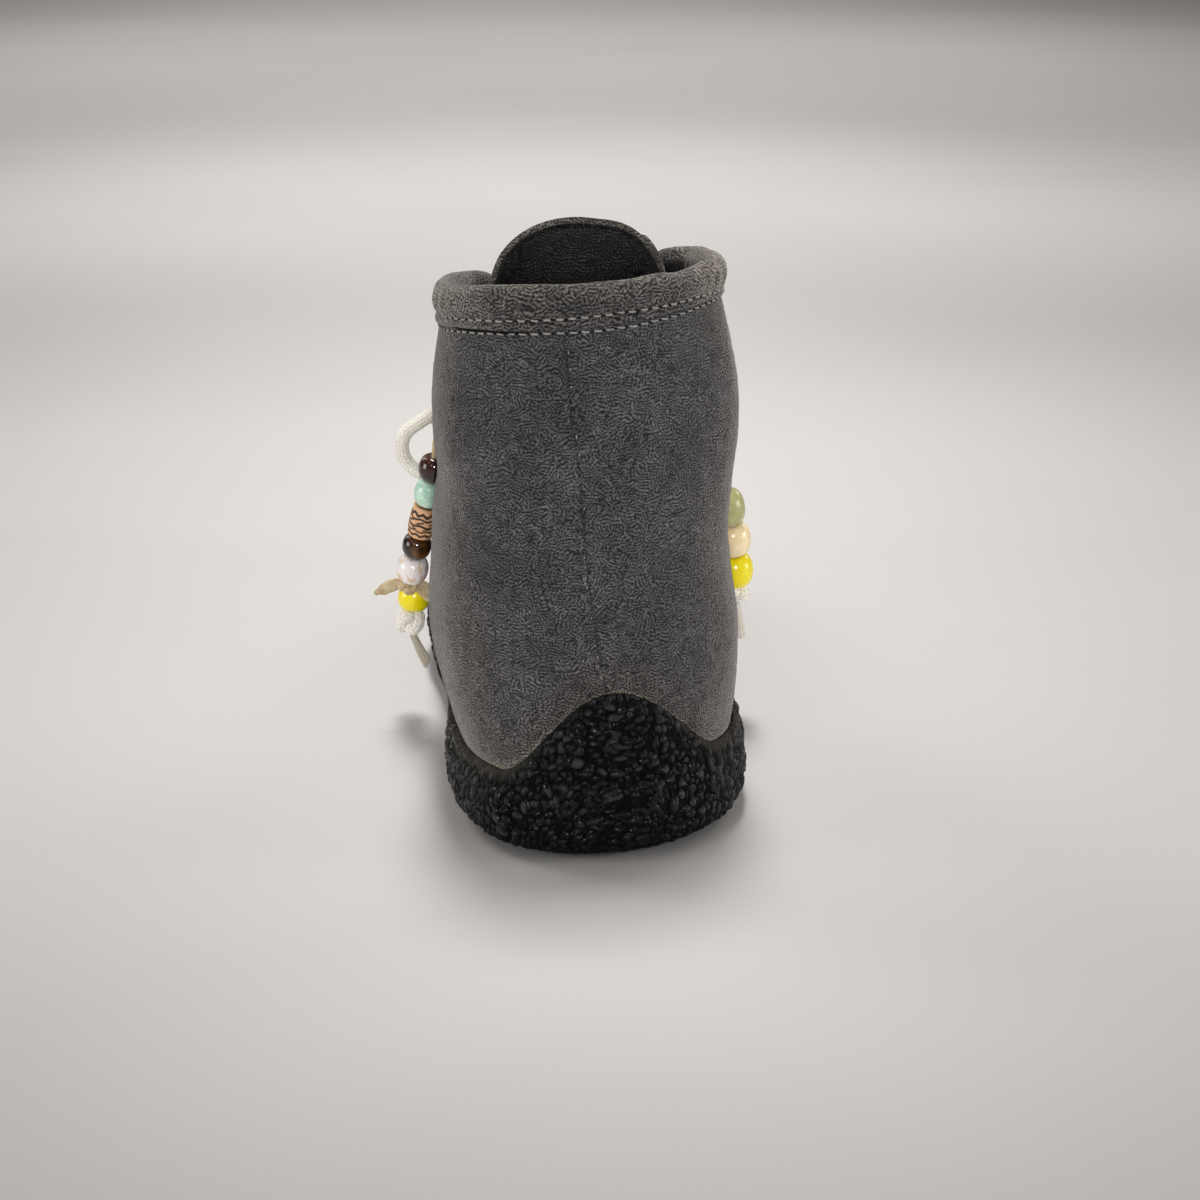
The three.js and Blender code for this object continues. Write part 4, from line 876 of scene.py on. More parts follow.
KNOT = on_tongue(56, 0, 8.2)
ROUTES = {
    "lace_loop_left": [
        (-10.8, 57.6, 139.6), (-17, 60.2, 135.2), (-25, 64.2, 128), (-32.4, 68.2, 118.4), (-38.6, 71.4, 108.4),
        (-42.2, 72.8, 101.8), (-45.6, 73.3, 98), (-49.4, 73.3, 95.6), (-52.9, 73.3, 93), (-54.5, 73.3, 89.4),
        (-54.2, 73.3, 85.8), (-52.4, 73.3, 82.8), (-49, 73.4, 80.4), (-45, 74.2, 80.4), (-42, 75, 85.4),
        (-39, 75.8, 95), (-34.2, 75, 106), (-26.6, 71.2, 118), (-18, 66, 129.4), (-10.8, 61.4, 136),
    ],
    "lace_loop_right": [
        (6.4, 57.6, 139.6), (12, 62, 135), (19.6, 69.6, 126), (26.4, 77, 114.6), (31.8, 83.4, 102.4), (35, 87.2, 91.6),
        (35.4, 90, 83), (32.6, 92, 78.4), (28.8, 93, 81), (25.6, 92.6, 88.8), (21.8, 89.8, 98.8), (17.4, 83.6, 110),
        (12, 74.8, 121.4), (8.2, 66.6, 130.8), (6.4, 61.4, 136.2),
    ],
    "lace_end_left": [
        (-10.8, 58.2, 132), (-13.2, 64.4, 127.6), (-16.6, 71, 123.2), (-22.4, 77.2, 117.4), (-28.6, 81, 109), (-34, 82, 99),
        (-38.2, 82, 89), (-41.4, 81.6, 80), (-44.7, 81.4, 70.9), (-47.6, 81.5, 63.3), (-49.9, 81.8, 55.3), (-51.1, 82.3, 47.4),
        (-52, 83, 38.6), (-53.4, 84, 30.6), (-52.7, 84.4, 26.6), (-50.9, 84.8, 21.8), (-48.6, 85.2, 17),
    ],
    "lace_end_right": [
        (5.8, 58.2, 132), (10.6, 61, 129.6), (17, 63.6, 125.4), (25, 66.8, 115.8), (32, 68.2, 104), (37, 68.8, 92.4),
        (40.4, 69.2, 80.4), (42.7, 70, 69.2), (44.9, 72.6, 58.7), (45.9, 75, 48.2), (46.2, 76.6, 40.3), (47.2, 77.6, 34.8),
        (48, 78.4, 30), (48.6, 79.2, 25.6),
    ],
    "thong": [
        (1.4, 62.8, 142.4), (-6.6, 62.6, 142.8), (-16, 61.6, 140.8), (-26, 60.8, 133.6), (-35, 61.4, 121), (-40.4, 61.8, 108.4),
        (-43.2, 62.2, 98.6), (-44.2, 62.8, 91.4), (-44.9, 63.8, 84), (-46.5, 66, 76.1), (-48.5, 68.3, 66.9), (-50.6, 70.5, 58.5),
        (-52.1, 72.5, 50.7), (-53.9, 74, 44.6),
    ],
}


def route(name, step=0.25, before=(), after=()):
    pts = list(before) + ROUTES[name] + list(after)
    return resample(catmull(pts, np.linspace(0, 1, 60 * (len(pts) - 1) + 1)), step=step)


def braid_relief(columns, pitch, depth):
    def relief(s, a):
        c = a / (2 * np.pi) * columns
        x = c - np.floor(c) - 0.5
        odd = np.where(np.floor(c) % 2 == 0, -1.0, 1.0)
        y = s / pitch + x * odd * 0.8
        y = y - np.floor(y)
        return depth * (np.cos(3.1 * x) * np.sin(np.pi * y) - 0.5)

    return relief


K = [float(v) for v in KNOT]
loops = []
for name, side in (("lace_loop_left", -1), ("lace_loop_right", 1)):
    path, length = route(name, 0.28, [(K[0] + side * 2.5, 58.2, K[2] + 2.2)], [(K[0] + side * 2.5, 59.6, K[2] - 0.2)])
    ob = tube_mesh(name + "_braid", tube(path, LACE_R, 30, braid_relief(12, 1.7, 0.2)), BRAID)
    ride(ob)
    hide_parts(name)
    loops.append(ob)


def lathe(name, centre, axis, profile, material, around=56, attrs=None, relief=None):
    """Ring turned about axis through centre; profile is a closed loop of (radius, height) points."""
    axis = unit(np.asarray(axis, float))
    e1 = unit(np.cross(axis, [0.0, 1.0, 0.15]))
    e2 = np.cross(axis, e1)
    a = np.linspace(0, 2 * np.pi, around, endpoint=False)
    prof = np.asarray(profile, float)
    r, h = prof[:, 0][None], prof[:, 1][None]
    A = a[:, None]
    if relief is not None:
        r = r + relief(A, h, r)
    d = np.cos(A)[..., None] * e1 + np.sin(A)[..., None] * e2
    P = np.asarray(centre) + d * (r * np.ones_like(A))[..., None] + (h * np.ones_like(A))[..., None] * axis
    return torus(name, P, material, attrs={k: f(A, h, r, P) for k, f in (attrs or {}).items()})


def bead_profile(R, H, bore, n=26, square=0.78):
    """Rounded barrel with a bore."""
    f = np.linspace(-np.pi / 2, np.pi / 2, n)
    r = bore + (R - bore) * np.cos(f).clip(0) ** square
    h = H * np.sign(np.sin(f)) * np.abs(np.sin(f)) ** 0.95
    inner = np.linspace(H, -H, 5)[1:-1]
    prof = np.concatenate([np.stack([r, h], 1), np.stack([np.full(3, bore - 0.05), inner], 1)])
    return prof


def threaded_at(name, z):
    pts, _ = route(name, 0.1)
    i = int(np.argmin(np.abs(pts[:, 2] - z)))
    return pts[i], unit(pts[min(i + 1, len(pts) - 1)] - pts[i - 1])


def overhand(centre, axis, size, radius, turn=0.0, squash_=1.0):
    """Rings of a tight overhand knot: a trefoil drawn round its cord."""
    axis = unit(np.asarray(axis, float))
    e1 = unit(np.cross(axis, [0.0, 1.0, 0.1]))
    e2 = np.cross(axis, e1)
    t = np.linspace(0, 2 * np.pi, 220, endpoint=False) + turn
    R = size / 2 - radius
    x = (np.sin(t) + 2 * np.sin(2 * t)) / 3 * R
    y = (np.cos(t) - 2 * np.cos(2 * t)) / 3 * R
    z = -np.sin(3 * t) * radius * 0.95 * squash_
    return np.asarray(centre) + x[:, None] * e1 + y[:, None] * axis * 0.0 + y[:, None] * e2 + z[:, None] * axis


def closed_tube(P, radius, sides, relief=None):
    """Rings round a closed path."""
    n = len(P)
    T = unit(np.roll(P, -1, 0) - np.roll(P, 1, 0))
    c = P.mean(0)
    S = unit(np.cross(T, P - c + 1e-6))
    U = np.cross(T, S)
    s = np.arange(n) * np.linalg.norm(P[1] - P[0])
    a = np.linspace(0, 2 * np.pi, sides, endpoint=False)
    R = radius + (relief(s[:, None], a[None, :]) if relief is not None else 0)
    R = np.broadcast_to(R, (n, sides))
    return P[:, None] + R[..., None] * (np.cos(a)[None, :, None] * S[:, None] + np.sin(a)[None, :, None] * U[:, None])


BEADS = [  # name, node, cord, z, across, high, slot
    ("brown_bead", "bead_brown", "thong", 84, 9.2, 7.8, "bead_brown"),
    ("mint_bead", "bead_mint", "thong", 76.1, 9.0, 8.3, "bead_mint"),
    ("carved_bead", "bead_carved", "thong", 66.9, 8.5, 10.2, "bead_wood"),
    ("tiger_bead", "bead_tiger", "thong", 58.5, 8.8, 7.0, "bead_brown"),
    ("pearl_bead", "bead_pearl", "thong", 50.7, 9.6, 8.5, "bead_pearl"),
    ("yellow_bead_left", "bead_yellow_left", "lace_end_left", 38.6, 9.9, 7.9, "bead_yellow"),
    ("olive_bead", "bead_olive", "lace_end_right", 69.2, 11.0, 10.6, "bead_olive"),
    ("cream_bead", "bead_cream", "lace_end_right", 58.7, 11.0, 10.3, "bead_cream"),
    ("yellow_bead_right", "bead_yellow_right", "lace_end_right", 48.2, 11.2, 10.2, "bead_yellow"),
]
GLASS = {
    "brown_bead": glass("glass_brown", (0.013, 0.005, 0.003), (0.07, 0.018, 0.005), 0.13, 0.42, 0.72, 0.06),
    "mint_bead": glass("glass_mint", (0.4, 0.64, 0.49), (0.58, 0.8, 0.66), 0.22, 0.42, 0.68, 0.12, tint=0.15),
    "tiger_bead": glass("glass_tiger", (0.014, 0.006, 0.003), (0.17, 0.066, 0.01), 0.17, 0.44, 0.78, 0.06, (1, 1, 0.5)),
    "pearl_bead": glass("pearl", (0.86, 0.8, 0.8), (0.66, 0.43, 0.2), 0.3, 0.47, 0.66, 0.16, (1.7, 1.2, 0.7), 0.85),
    "yellow_bead_left": glass("gloss_yellow", (0.92, 0.78, 0.002), (0.86, 0.7, 0.002), 0.3, 0.4, 0.7, 0.22, tint=0.08),
    "olive_bead": glass("gloss_olive", (0.37, 0.37, 0.16), (0.44, 0.44, 0.2), 0.3, 0.4, 0.7, 0.2, tint=0.1),
    "cream_bead": glass("gloss_cream", (0.86, 0.68, 0.4), (0.9, 0.76, 0.5), 0.3, 0.4, 0.7, 0.18, tint=0.15),
}
GLASS["yellow_bead_right"] = GLASS["yellow_bead_left"]


def carve(A, h, H):
    """Burnt lines of the carved bead: zigzag collars, wavy bands and dashes between them."""
    t = h / H  # -1 lower end to 1 upper end
    turns = A / (2 * np.pi)
    saw = lambda n, ph=0.0: np.abs(((turns * n + ph) % 1.0) - 0.5) * 2 - 0.5
    line = lambda c, wdt: np.clip(1 - np.abs(t - c) / wdt, 0, 1)
    out = line(0.64 + 0.17 * saw(9), 0.19)
    out = np.maximum(out, line(0.36 + 0.05 * np.sin(2 * np.pi * turns * 6), 0.13))
    out = np.maximum(out, line(-0.08 + 0.06 * np.sin(2 * np.pi * turns * 5 + 1), 0.15))
    out = np.maximum(out, line(-0.4 + 0.04 * np.sin(2 * np.pi * turns * 6 + 2), 0.1))
    out = np.maximum(out, line(-0.68 + 0.15 * saw(9, 0.3), 0.16))
    dash = (np.abs(((turns * 7) % 1.0) - 0.5) < 0.3).astype(float)
    out = np.maximum(out, line(0.15 + 0.14 * saw(7, 0.25), 0.11) * dash)
    out = np.maximum(out, line(-0.24 + 0.1 * saw(9, 0.1), 0.09) * (1 - 0.6 * dash))
    return out


bead_objects = {}
for name, node, cord_name, z, across, high, slot_name in BEADS:
    at, tangent = threaded_at(cord_name, z)
    bore = (1.5 if cord_name == "thong" else 1.8) + 0.3
    R, H = across / 2, high / 2
    if name == "carved_bead":
        f = np.linspace(-1, 1, 70)
        r = R * (1 - 0.13 * np.abs(f) ** 2.6)
        r = r - 0.35 * np.clip((np.abs(f) - 0.93) / 0.07, 0, 1) ** 2
        prof = np.concatenate([np.stack([r, H * f], 1), [[R * 0.72, H * 0.99], [bore + 0.2, H * 0.97]], np.stack([np.full(3, bore), np.linspace(H, -H, 5)[1:-1]], 1), [[bore + 0.2, -H * 0.97], [R * 0.72, -H * 0.99]]])
        outer_part = lambda r_: (r_ > R * 0.8)
        ob = lathe(name, at, -tangent, prof, carved_wood(), 150,
                   attrs={"burn": lambda A, h, r_, P: carve(A, h, H) * (r_ > R * 0.75)},
                   relief=lambda A, h, r_: -0.2 * carve(A, h, H) * (r_ > R * 0.75))
    else:
        ob = lathe(name, at, -tangent, bead_profile(R, H, bore), GLASS[name])
    ride(ob)
    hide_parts(node)
    bead_objects[name] = ob


def knot_uv(P, quads_, run_):
    """Loop UV of a closed tube: round it 0 to 1, along it in millimetres."""
    n_, m_ = P.shape[:2]
    i, j = quads_ // m_, quads_ % m_
    i = np.where((i == 0) & (i.max(1, keepdims=True) == n_ - 1), n_, i)
    j = np.where((j == 0) & (j.max(1, keepdims=True) == m_ - 1), m_, j)
    return np.stack([j / m_, run_[i]], -1).reshape(-1, 2)


def knot_piece(name, node, cord_name, z, across, high, material, radius, turn):
    at, tangent = threaded_at(cord_name, z)
    path = overhand(at, -tangent, across, radius, turn, squash_=(high / 2 - radius) / (radius * 0.95) if high / 2 > radius else 0.25)
    braided = "lace" in node
    P = closed_tube(path, radius, 30, braid_relief(10, 1.5, 0.2) if braided else (lambda s, a: 0.12 * np.sin(3 * a + s)))
    n_, m_ = P.shape[:2]
    run_ = np.arange(n_ + 1) * np.linalg.norm(path[1] - path[0])
    quads_ = grid_quads(n_, m_, True, True)
    if volume_sign(P, quads_) < 0:
        quads_ = quads_[:, ::-1]
    ob = make(name, P, quads_, material, uv_loops=knot_uv(P, quads_, run_))
    ride(ob)
    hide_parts(node)
    return ob


stopper_left = knot_piece("white_knot_left", "lace_stopper_left", "lace_end_left", 30.8, 9.6, 8.2, BRAID_END, 2.2, 0.4)
stopper_right = knot_piece("white_knot_right", "lace_stopper_right", "lace_end_right", 40.2, 9.0, 6.2, BRAID_END, 1.95, 1.2)
thong_knot = knot_piece("tan_knot", "thong_knot", "thong", 45, 6.4, 4.6, LEATHER, 1.35, 0.2)


def leather_strip(name, node, points, widths, thick, wide):
    """Flat strip of split leather with softly curled faces."""
    P, length = resample(catmull(points, np.linspace(0, 1, 200)), step=0.25)
    t = np.linspace(0, 1, len(P))
    w = np.interp(t, np.linspace(0, 1, len(widths)), widths)
    rings = oval(P, w / 2, thick / 2, 22, wide, lambda s, a: 0.06 * np.sin(2.1 * s + 2 * a) + 0.05 * np.sin(5.3 * s + 3 * a))
    ob = tube_mesh(name, rings, LEATHER)
    ride(ob)
    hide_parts(node)
    return ob


tail = leather_strip("tan_tail", "thong_tail", [(-54.6, 74, 45.2), (-56.6, 74, 45.4), (-58.8, 73.8, 44.9), (-61.2, 73.6, 43.8), (-63.4, 73.4, 42.9)], [2.8, 3.6, 3.9, 3.3, 1.5], 1.0, (0.15, 0.25, 1))
tab = leather_strip("tan_tab", "thong_tab", [(-51.6, 75, 45.4), (-50, 75.8, 44.2), (-48.2, 76.4, 42.4), (-46.6, 76.8, 39.9)], [4.2, 5.0, 5.2, 4.0], 1.3, (0.8, -0.25, 0.6))

CORDS = {
    "lace_end_left": (1.8, "knot", [stopper_left, bead_objects["yellow_bead_left"]]),
    "lace_end_right": (1.8, "knot", [stopper_right] + [bead_objects[k] for k in ("olive_bead", "cream_bead", "yellow_bead_right")]),
}
for name, (radius, far, pieces) in CORDS.items():
    side = -1 if name.endswith("left") else 1
    path, length = route(name, 0.28, [(K[0] + side * 2.5, 58.8, K[2] - 2.6)])
    knot_z = 31.2 if side < 0 else 40.2
    past = 1 - smooth(knot_z - 4.5, knot_z - 1.5, path[:, 2])
    wide = np.stack([np.full(len(path), 1.0), np.full(len(path), 0.1), np.full(len(path), 0.5)], 1)
    if side < 0:
        tip = smooth(0, 8, path[:, 2] - path[-1, 2])
        hw = radius + (1.15 + 0.5 * (1 - tip) - radius) * past
        ht = radius + (0.7 - radius) * past
    else:
        hw = radius + (1.15 - radius) * past + 0.35 * past * (1 - smooth(0, 6, path[:, 2] - path[-1, 2]))
        ht = radius + (1.0 - radius) * past
    relief = braid_relief(10, 1.6, 0.16)
    rings = oval(path, hw, ht, 28, wide, lambda s, a: relief(s, a) * (1 - (0.95 if side < 0 else 0.6) * past[:, None]))
    if side < 0:  # cut off slantwise
        along_ = unit(np.gradient(path, axis=0))
        broad = unit(wide - along_ * (wide * along_).sum(1)[:, None])
        from_end = length * (1 - np.linspace(0, 1, len(path)))
        slant = ((rings - path[:, None]) * broad[:, None]).sum(-1) * (1 - smooth(0, 3.2, from_end))[:, None]
        rings = rings - along_[:, None] * slant[..., None] * 0.8
    # tails past the knots darker: wear, and painted shade, full on the left tail and a third on the right
    worn_and_shaded = past * (1.0 if side < 0 else 0.35)
    worn_and_shaded = np.repeat(np.concatenate([worn_and_shaded[:1].repeat(3), worn_and_shaded, worn_and_shaded[-1:].repeat(3)]), 28)
    ob = tube_mesh(name + "_braid", rings, BRAID_END, attrs={"worn_and_shaded": np.concatenate([worn_and_shaded, [0.0, worn_and_shaded[-1]]])})
    ride(ob)
    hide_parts(name)

path, length = route("thong", 0.3)
rings = oval(path, 1.62, 0.95, 24, np.stack([np.full(len(path), 0.4), np.full(len(path), 0.9), np.full(len(path), 0.1)], 1), lambda s, a: 0.05 * np.sin(1.7 * s) * np.cos(a))
thong = tube_mesh("thong_strip", rings, LEATHER)
ride(thong)
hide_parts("thong")


# ------------------------------------------------------------------------------------------------ laces over the tongue
ON_TONGUE, ON_FACING = 0.7, 0.5
STRANDS = [
    ("lace_bar", -1, 92, 92, True, True),
    ("lace_cross_lower", -1, 85, 79, False, False),
    ("lace_cross_lower", 1, 85, 79, False, False),
    ("lace_cross_upper", -1, 74, 60, True, False),
    ("lace_cross_upper", 1, 74, 60, True, False),
]


def w_at(side, y):
    return 1 + y / THROAT_Y if side < 0 else 5 - y / THROAT_Y


def over_edge(side, y, inside=True):
    w, near = w_at(side, y), LACE_R + ON_FACING
    inward = unit(form(w, 2.0) - form(w, 1.95)) * 1.4
    pts = [on_form(w, EYELET_LEVEL, near - 0.35), on_form(w, 1.92, near + 0.1), on_form(w, 2.0, near + 0.5) + inward]
    if inside:
        pts = [on_form(w, EYELET_LEVEL - 0.03, -3.6), on_form(w, EYELET_LEVEL - 0.012, -0.4)] + pts
    return pts


def strand(points, radius=LACE_R, sides=24, step=0.36):
    P, _ = resample(catmull(points, np.linspace(0, 1, 40 * (len(points) - 1) + 1)), step=step)
    return tube(P, radius, sides, braid_relief(12, 1.7, 0.18))


by_node = {}
for node, side, y0, y1, out, over in STRANDS:
    pts = over_edge(side, y0) if out else []
    for u in (-0.9, -0.55, 0, 0.55, 0.9):
        raised = out if u < 0 else over
        pts.append(on_tongue(y0 + (y1 - y0) * (u + 1) / 2, -side * u, LACE_R + ON_TONGUE + (2.6 * abs(u) ** 1.5 if raised else 0)))
    pts += over_edge(-side, y1)[::-1] if over else []
    by_node.setdefault(node, []).append(strand(pts))
for node, parts in by_node.items():
    ob = tube_mesh(node + "_braid", parts[0], BRAID, more=parts[1:])
    ride(ob)
    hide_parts(node)

# bow knot: two turns wrapped round the crossed strands
turns = np.linspace(0, 2 * np.pi * 1.9, 150)
wrap = np.stack([K[0] - 2.6 + 5.0 * turns / turns[-1] + 0.5 * np.sin(turns), K[1] + 3.5 * np.cos(turns + 0.6), K[2] + 3.7 * np.sin(turns + 0.6)], 1)
wrap, _ = resample(wrap, step=0.3)
parts = [tube(wrap, 2.0, 26, braid_relief(12, 1.7, 0.18))]
for dy, dz, bow in ((0.9, 1.6, 1.0), (-0.7, -1.5, -0.7)):
    core = [(K[0] - 7.4, K[1] + 0.4 * dy, K[2] + dz + 0.6 * bow), (K[0] - 3.4, K[1] + dy, K[2] + dz), (K[0], K[1] + 0.6 * dy, K[2] + 0.7 * dz), (K[0] + 3.4, K[1] + dy, K[2] + dz), (K[0] + 7.2, K[1] + 0.4 * dy, K[2] + dz - 0.5 * bow)]
    parts.append(strand(core, 2.0))
for side in (-1, 1):
    parts.append(strand(over_edge(side, 57) + [KNOT + [side * 10, -4.4, 0], KNOT + [side * 6.0, -3.2, -0.2], KNOT + [side * 2.4, -1.6, -0.6]]))
knot = tube_mesh("bow_knot", parts[0], BRAID, more=parts[1:])
ride(knot)
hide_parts("lace_knot")


# ------------------------------------------------------------------------------------------------ upper
def grid_normals(P, wrap_n=False, wrap_m=False):
    dn = (np.roll(P, -1, 0) - np.roll(P, 1, 0)) if wrap_n else np.gradient(P, axis=0)
    dm = (np.roll(P, -1, 1) - np.roll(P, 1, 1)) if wrap_m else np.gradient(P, axis=1)
    return unit(np.cross(dn, dm))


def rows_by_length(ws, v0, v1, n, fine=90):
    """v at n levels evenly spaced by length between v0 and v1, for each w."""
    t = np.linspace(0, 1, fine)
    vs = v0[:, None] + (v1 - v0)[:, None] * t[None]
    P = form(ws[:, None], vs)
    s = np.concatenate([np.zeros((len(ws), 1)), np.cumsum(np.linalg.norm(np.diff(P, axis=1), axis=2), axis=1)], 1)
    out = np.empty((len(ws), n))
    for i in range(len(ws)):
        out[i] = np.interp(np.linspace(0, s[i, -1], n), s[i], vs[i])
    return out, s[:, -1]


SEAM_Z = [40, 49.2, 55, 62.8, 72.6, 79.6, 89.5, 100.5, 110.5, 121, 127, 136, 141.5, 150]
SEAM_X = [2.0, 1.5, 1.1, 0.3, -0.5, -0.7, -1.2, -1.55, -2.2, -4.0, -4.55, -4.8, -5.6, -6.3]
PER_W = 56.5  # millimetres round the heel for one unit of w


def seam_shift(z):
    return sum(np.interp(z + d, SEAM_Z, SEAM_X) for d in (-5, -2.5, 0, 2.5, 5)) / 5


def round_the_boot(rear_step, mid, front, near_seam=()):
    half = list(near_seam) + list(np.arange((near_seam[-1] + rear_step) if near_seam else 0, PER_W - rear_step * 0.6, rear_step))
    half = [d / PER_W for d in half]
    half += [1 + i / mid for i in range(mid)]
    half += [3 - (1 - i / front) ** 1.25 for i in range(front)]
    return np.array(half + [3.0] + [6 - q for q in half[1:][::-1]])


def signed(ws):
    """Place round the boot from the heel centre: + lateral side, - medial side."""
    return np.where(ws > 3, ws - 6, ws)


def quarter_edge(v):
    """Where the quarters end on the vamp, as a share of the way round."""
    return np.interp(v, [0, 0.25, 0.6, 1.0, 1.5, 2.0], [1.66, 1.7, 1.79, 1.88, 1.95, 1.985])


W = round_the_boot(0.82, 88, 112, [0, 0.22, 0.44, 0.66, 0.9, 1.2, 1.6, 2.1, 2.7, 3.4])
s_w = signed(W)
v_cup = cup_level(W)
VIS = 128
v_vis, rib_length = rows_by_length(W, v_cup * 0.985, np.full(len(W), 2.0), VIS)
V = np.concatenate([np.zeros((len(W), 1)), (v_cup * 0.55)[:, None], (v_cup * 0.86)[:, None], v_vis], 1)
z0 = form(np.zeros(V.shape), V)[..., 2]
warp = -seam_shift(z0) / PER_W * (1 - smooth(0.04, 0.7, np.abs(s_w)))[:, None]
WW = W[:, None] + warp
base = form(WW, V)
nrm = facing(WW, V)
above = base[..., 2] - cup_top(WW)
q_abs = np.abs(np.broadcast_to(s_w[:, None], V.shape))
from_seam = np.broadcast_to(s_w[:, None], V.shape) * PER_W
seam_on = (1 - smooth(142.5, 146, base[..., 2])) * (np.abs(from_seam) < 20)
d = 0.32 * fractal(base, 1 / 30, 2, 1) + 0.16 * fractal(base, 1 / 10, 2, 3) + 0.12 * noise(base, 1 / 2.1, 5) + 0.2 * noise(base, 1 / 1.15, 6)
wander = 0.16 * noise(np.stack([base[..., 2], base[..., 2] * 0, base[..., 2] * 0], -1), 1 / 4.0, 9)
fs = from_seam + wander
groove = np.exp(-((fs / 0.36) ** 2)) * (0.55 + 0.45 * smooth(-0.25, 0.3, noise(base, 1 / 3.4, 33)))
d = d + seam_on * (-0.5 * groove + 0.2 * np.exp(-(((np.abs(fs) - 1.5) / 1.0) ** 2)) + 0.12 * np.where(fs > 0, 1, -1) * np.exp(-((fs / 3.5) ** 2)))


def crease(y0, z0_, y1, z1, side, depth, wide, P):
    """Soft trough along a line across one side of the boot, with a roll of leather on each side."""
    a, b = np.array([y0, z0_]), np.array([y1, z1])
    q = P[..., 1:3] - a
    t = np.clip((q @ (b - a)) / ((b - a) @ (b - a)), 0, 1)
    dist = np.linalg.norm(q - t[..., None] * (b - a), axis=-1)
    taper = np.sin(np.pi * np.clip(t, 0.02, 0.98)) ** 0.7
    here = np.where(np.sign(P[..., 0] + 2.0) == side, 1.0, 0.0)
    return here * taper * (-depth * np.exp(-((dist / wide) ** 2)) + 0.45 * depth * np.exp(-(((dist - 2.1 * wide) / wide) ** 2)))


CREASES = [  # y, z, y, z, side, depth, width
    (34, 96, 70, 84, -1, 0.9, 3.2), (40, 84, 76, 71, -1, 0.7, 3.0), (46, 72, 78, 60, -1, 0.5, 2.8),
    (36, 98, 72, 85, 1, 0.8, 3.2), (42, 86, 76, 72, 1, 0.7, 3.0), (28, 118, 52, 108, 1, 0.5, 3.4), (26, 114, 50, 106, -1, 0.6, 3.4),
    (2, 100, 26, 92, -1, 0.35, 4.0), (0, 84, 24, 78, 1, 0.3, 4.0),
]
for c in CREASES:
    d = d + crease(*c, base)
# flex lines across the vamp behind the toes
fl = smooth(0.75, 1.05, V) * (q_abs > 1.9)
for y0, depth in ((139, 0.55), (148, 0.8), (157, 0.6)):
    yy = base[..., 1] - y0 - 0.004 * (base[..., 0] - 3) ** 2 + 1.2 * noise(base, 1 / 16, 12)
    d = d + fl * depth * (-np.exp(-((yy / 2.0) ** 2)) + 0.5 * np.exp(-(((yy - 4) / 2.2) ** 2)))
# vamp lies under the quarters
past_edge = smooth(-0.006, 0.006, q_abs - quarter_edge(V))
d = d - 0.85 * past_edge
# gathers beside the moc seam
to_seam = (V - 1.0) * np.where(V < 1, 40, 60)
arc = np.concatenate([[0], np.cumsum(np.linalg.norm(np.diff(form(W, 1.0), axis=0), axis=1))])
gather = np.exp(-((to_seam / 6.0) ** 2)) * past_edge * (0.55 * np.cos(2 * np.pi * arc / 5.4))[:, None]
d = d + gather - 0.5 * np.exp(-(((np.abs(to_seam) - 2.2) / 1.4) ** 2)) * past_edge
# punched eyelets
eye_pts = [form(w_at(sd, y), EYELET_LEVEL) for sd in (-1, 1) for y in EYELETS.values()]
near_eye = np.min([np.linalg.norm(base - e, axis=-1) for e in eye_pts], axis=0)
hole = 1 - smooth(2.15, 2.75, near_eye)
d = d - 1.25 * hole - 0.25 * (np.exp(-(((near_eye - 3.2) / 0.8) ** 2)))
# tucked into the cup, and pressed flat under the collar's lip
d = d - 0.35 * (1 - smooth(0.0, 2.2, above)) * (above > -1)
d = d - 0.15 * smooth(1.97, 2.0, V)
wide_edge = (smooth(0.08, 0.2, s_w) * (1 - smooth(0.5, 0.66, s_w)))[:, None]
edge = np.maximum(1 - smooth(0.25, 0.95, above), 0.6 * wide_edge * (1 - smooth(1.0, 2.0, above)))
edge = edge * (0.55 + 0.45 * np.clip(1.4 * noise(base, 1 / 5.0, 21) + 0.6, 0, 1))
# painted shade: darker in the eyelet holes, along the back seam's groove, under the quarters' front edge, and in a
# patch low on the lateral side of the heel
painted_shade = np.maximum(0.92 * hole, seam_on * 0.62 * np.exp(-((fs / 0.42) ** 2)) * np.clip(0.5 + 1.1 * noise(base, 1 / 2.6, 31), 0.08, 1))
painted_shade = np.maximum(painted_shade, 0.5 * np.exp(-(((q_abs - quarter_edge(V) - 0.008) / 0.008) ** 2)) * (q_abs > 1.5) * (V > 0.1))
painted_shade = np.maximum(painted_shade, 0.2 * np.exp(-(((base[..., 2] - 25) / 13) ** 2)) * (smooth(0.26, 0.4, s_w) * (1 - smooth(0.56, 0.74, s_w)))[:, None])
# dust by the cup and low down, with noise, and a lighter patch on the sides about 53 mm up
dust_and_pale_patch = np.clip(0.16 * (1 - smooth(2, 16, above)) + 0.07 * (1 - smooth(20, 70, base[..., 2])) + 0.1 * noise(base, 1 / 14, 41)
    + 0.42 * np.exp(-(((base[..., 2] - 53) / 13) ** 2)) * smooth(0.5, 0.72, s_w)[:, None] * (1 - smooth(1.2, 1.6, s_w))[:, None], 0, 1)
outer_face = base + nrm * d[..., None]
back_v = np.array([2.0, 1.7, 1.35, 1.0, 0.7, 0.35, 0.0])
edge_ring = on_form(W[:, None], np.full((len(W), 1), 2.0), -0.7) + unit(form(W, 2.0) - form(W, 1.97))[:, None] * 0.25
back = on_form(W[:, None], np.broadcast_to(back_v, (len(W), len(back_v))), -1.4)
P = np.concatenate([outer_face, edge_ring, back], 1)
pad = np.zeros((len(W), 1 + len(back_v)))
upper = torus("suede_upper", P, SUEDE, attrs={
    "warm": np.concatenate([dust_and_pale_patch, pad], 1), "painted_shade": np.concatenate([painted_shade, pad], 1), "edge": np.concatenate([edge, pad], 1)})
ride(upper)
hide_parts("upper")

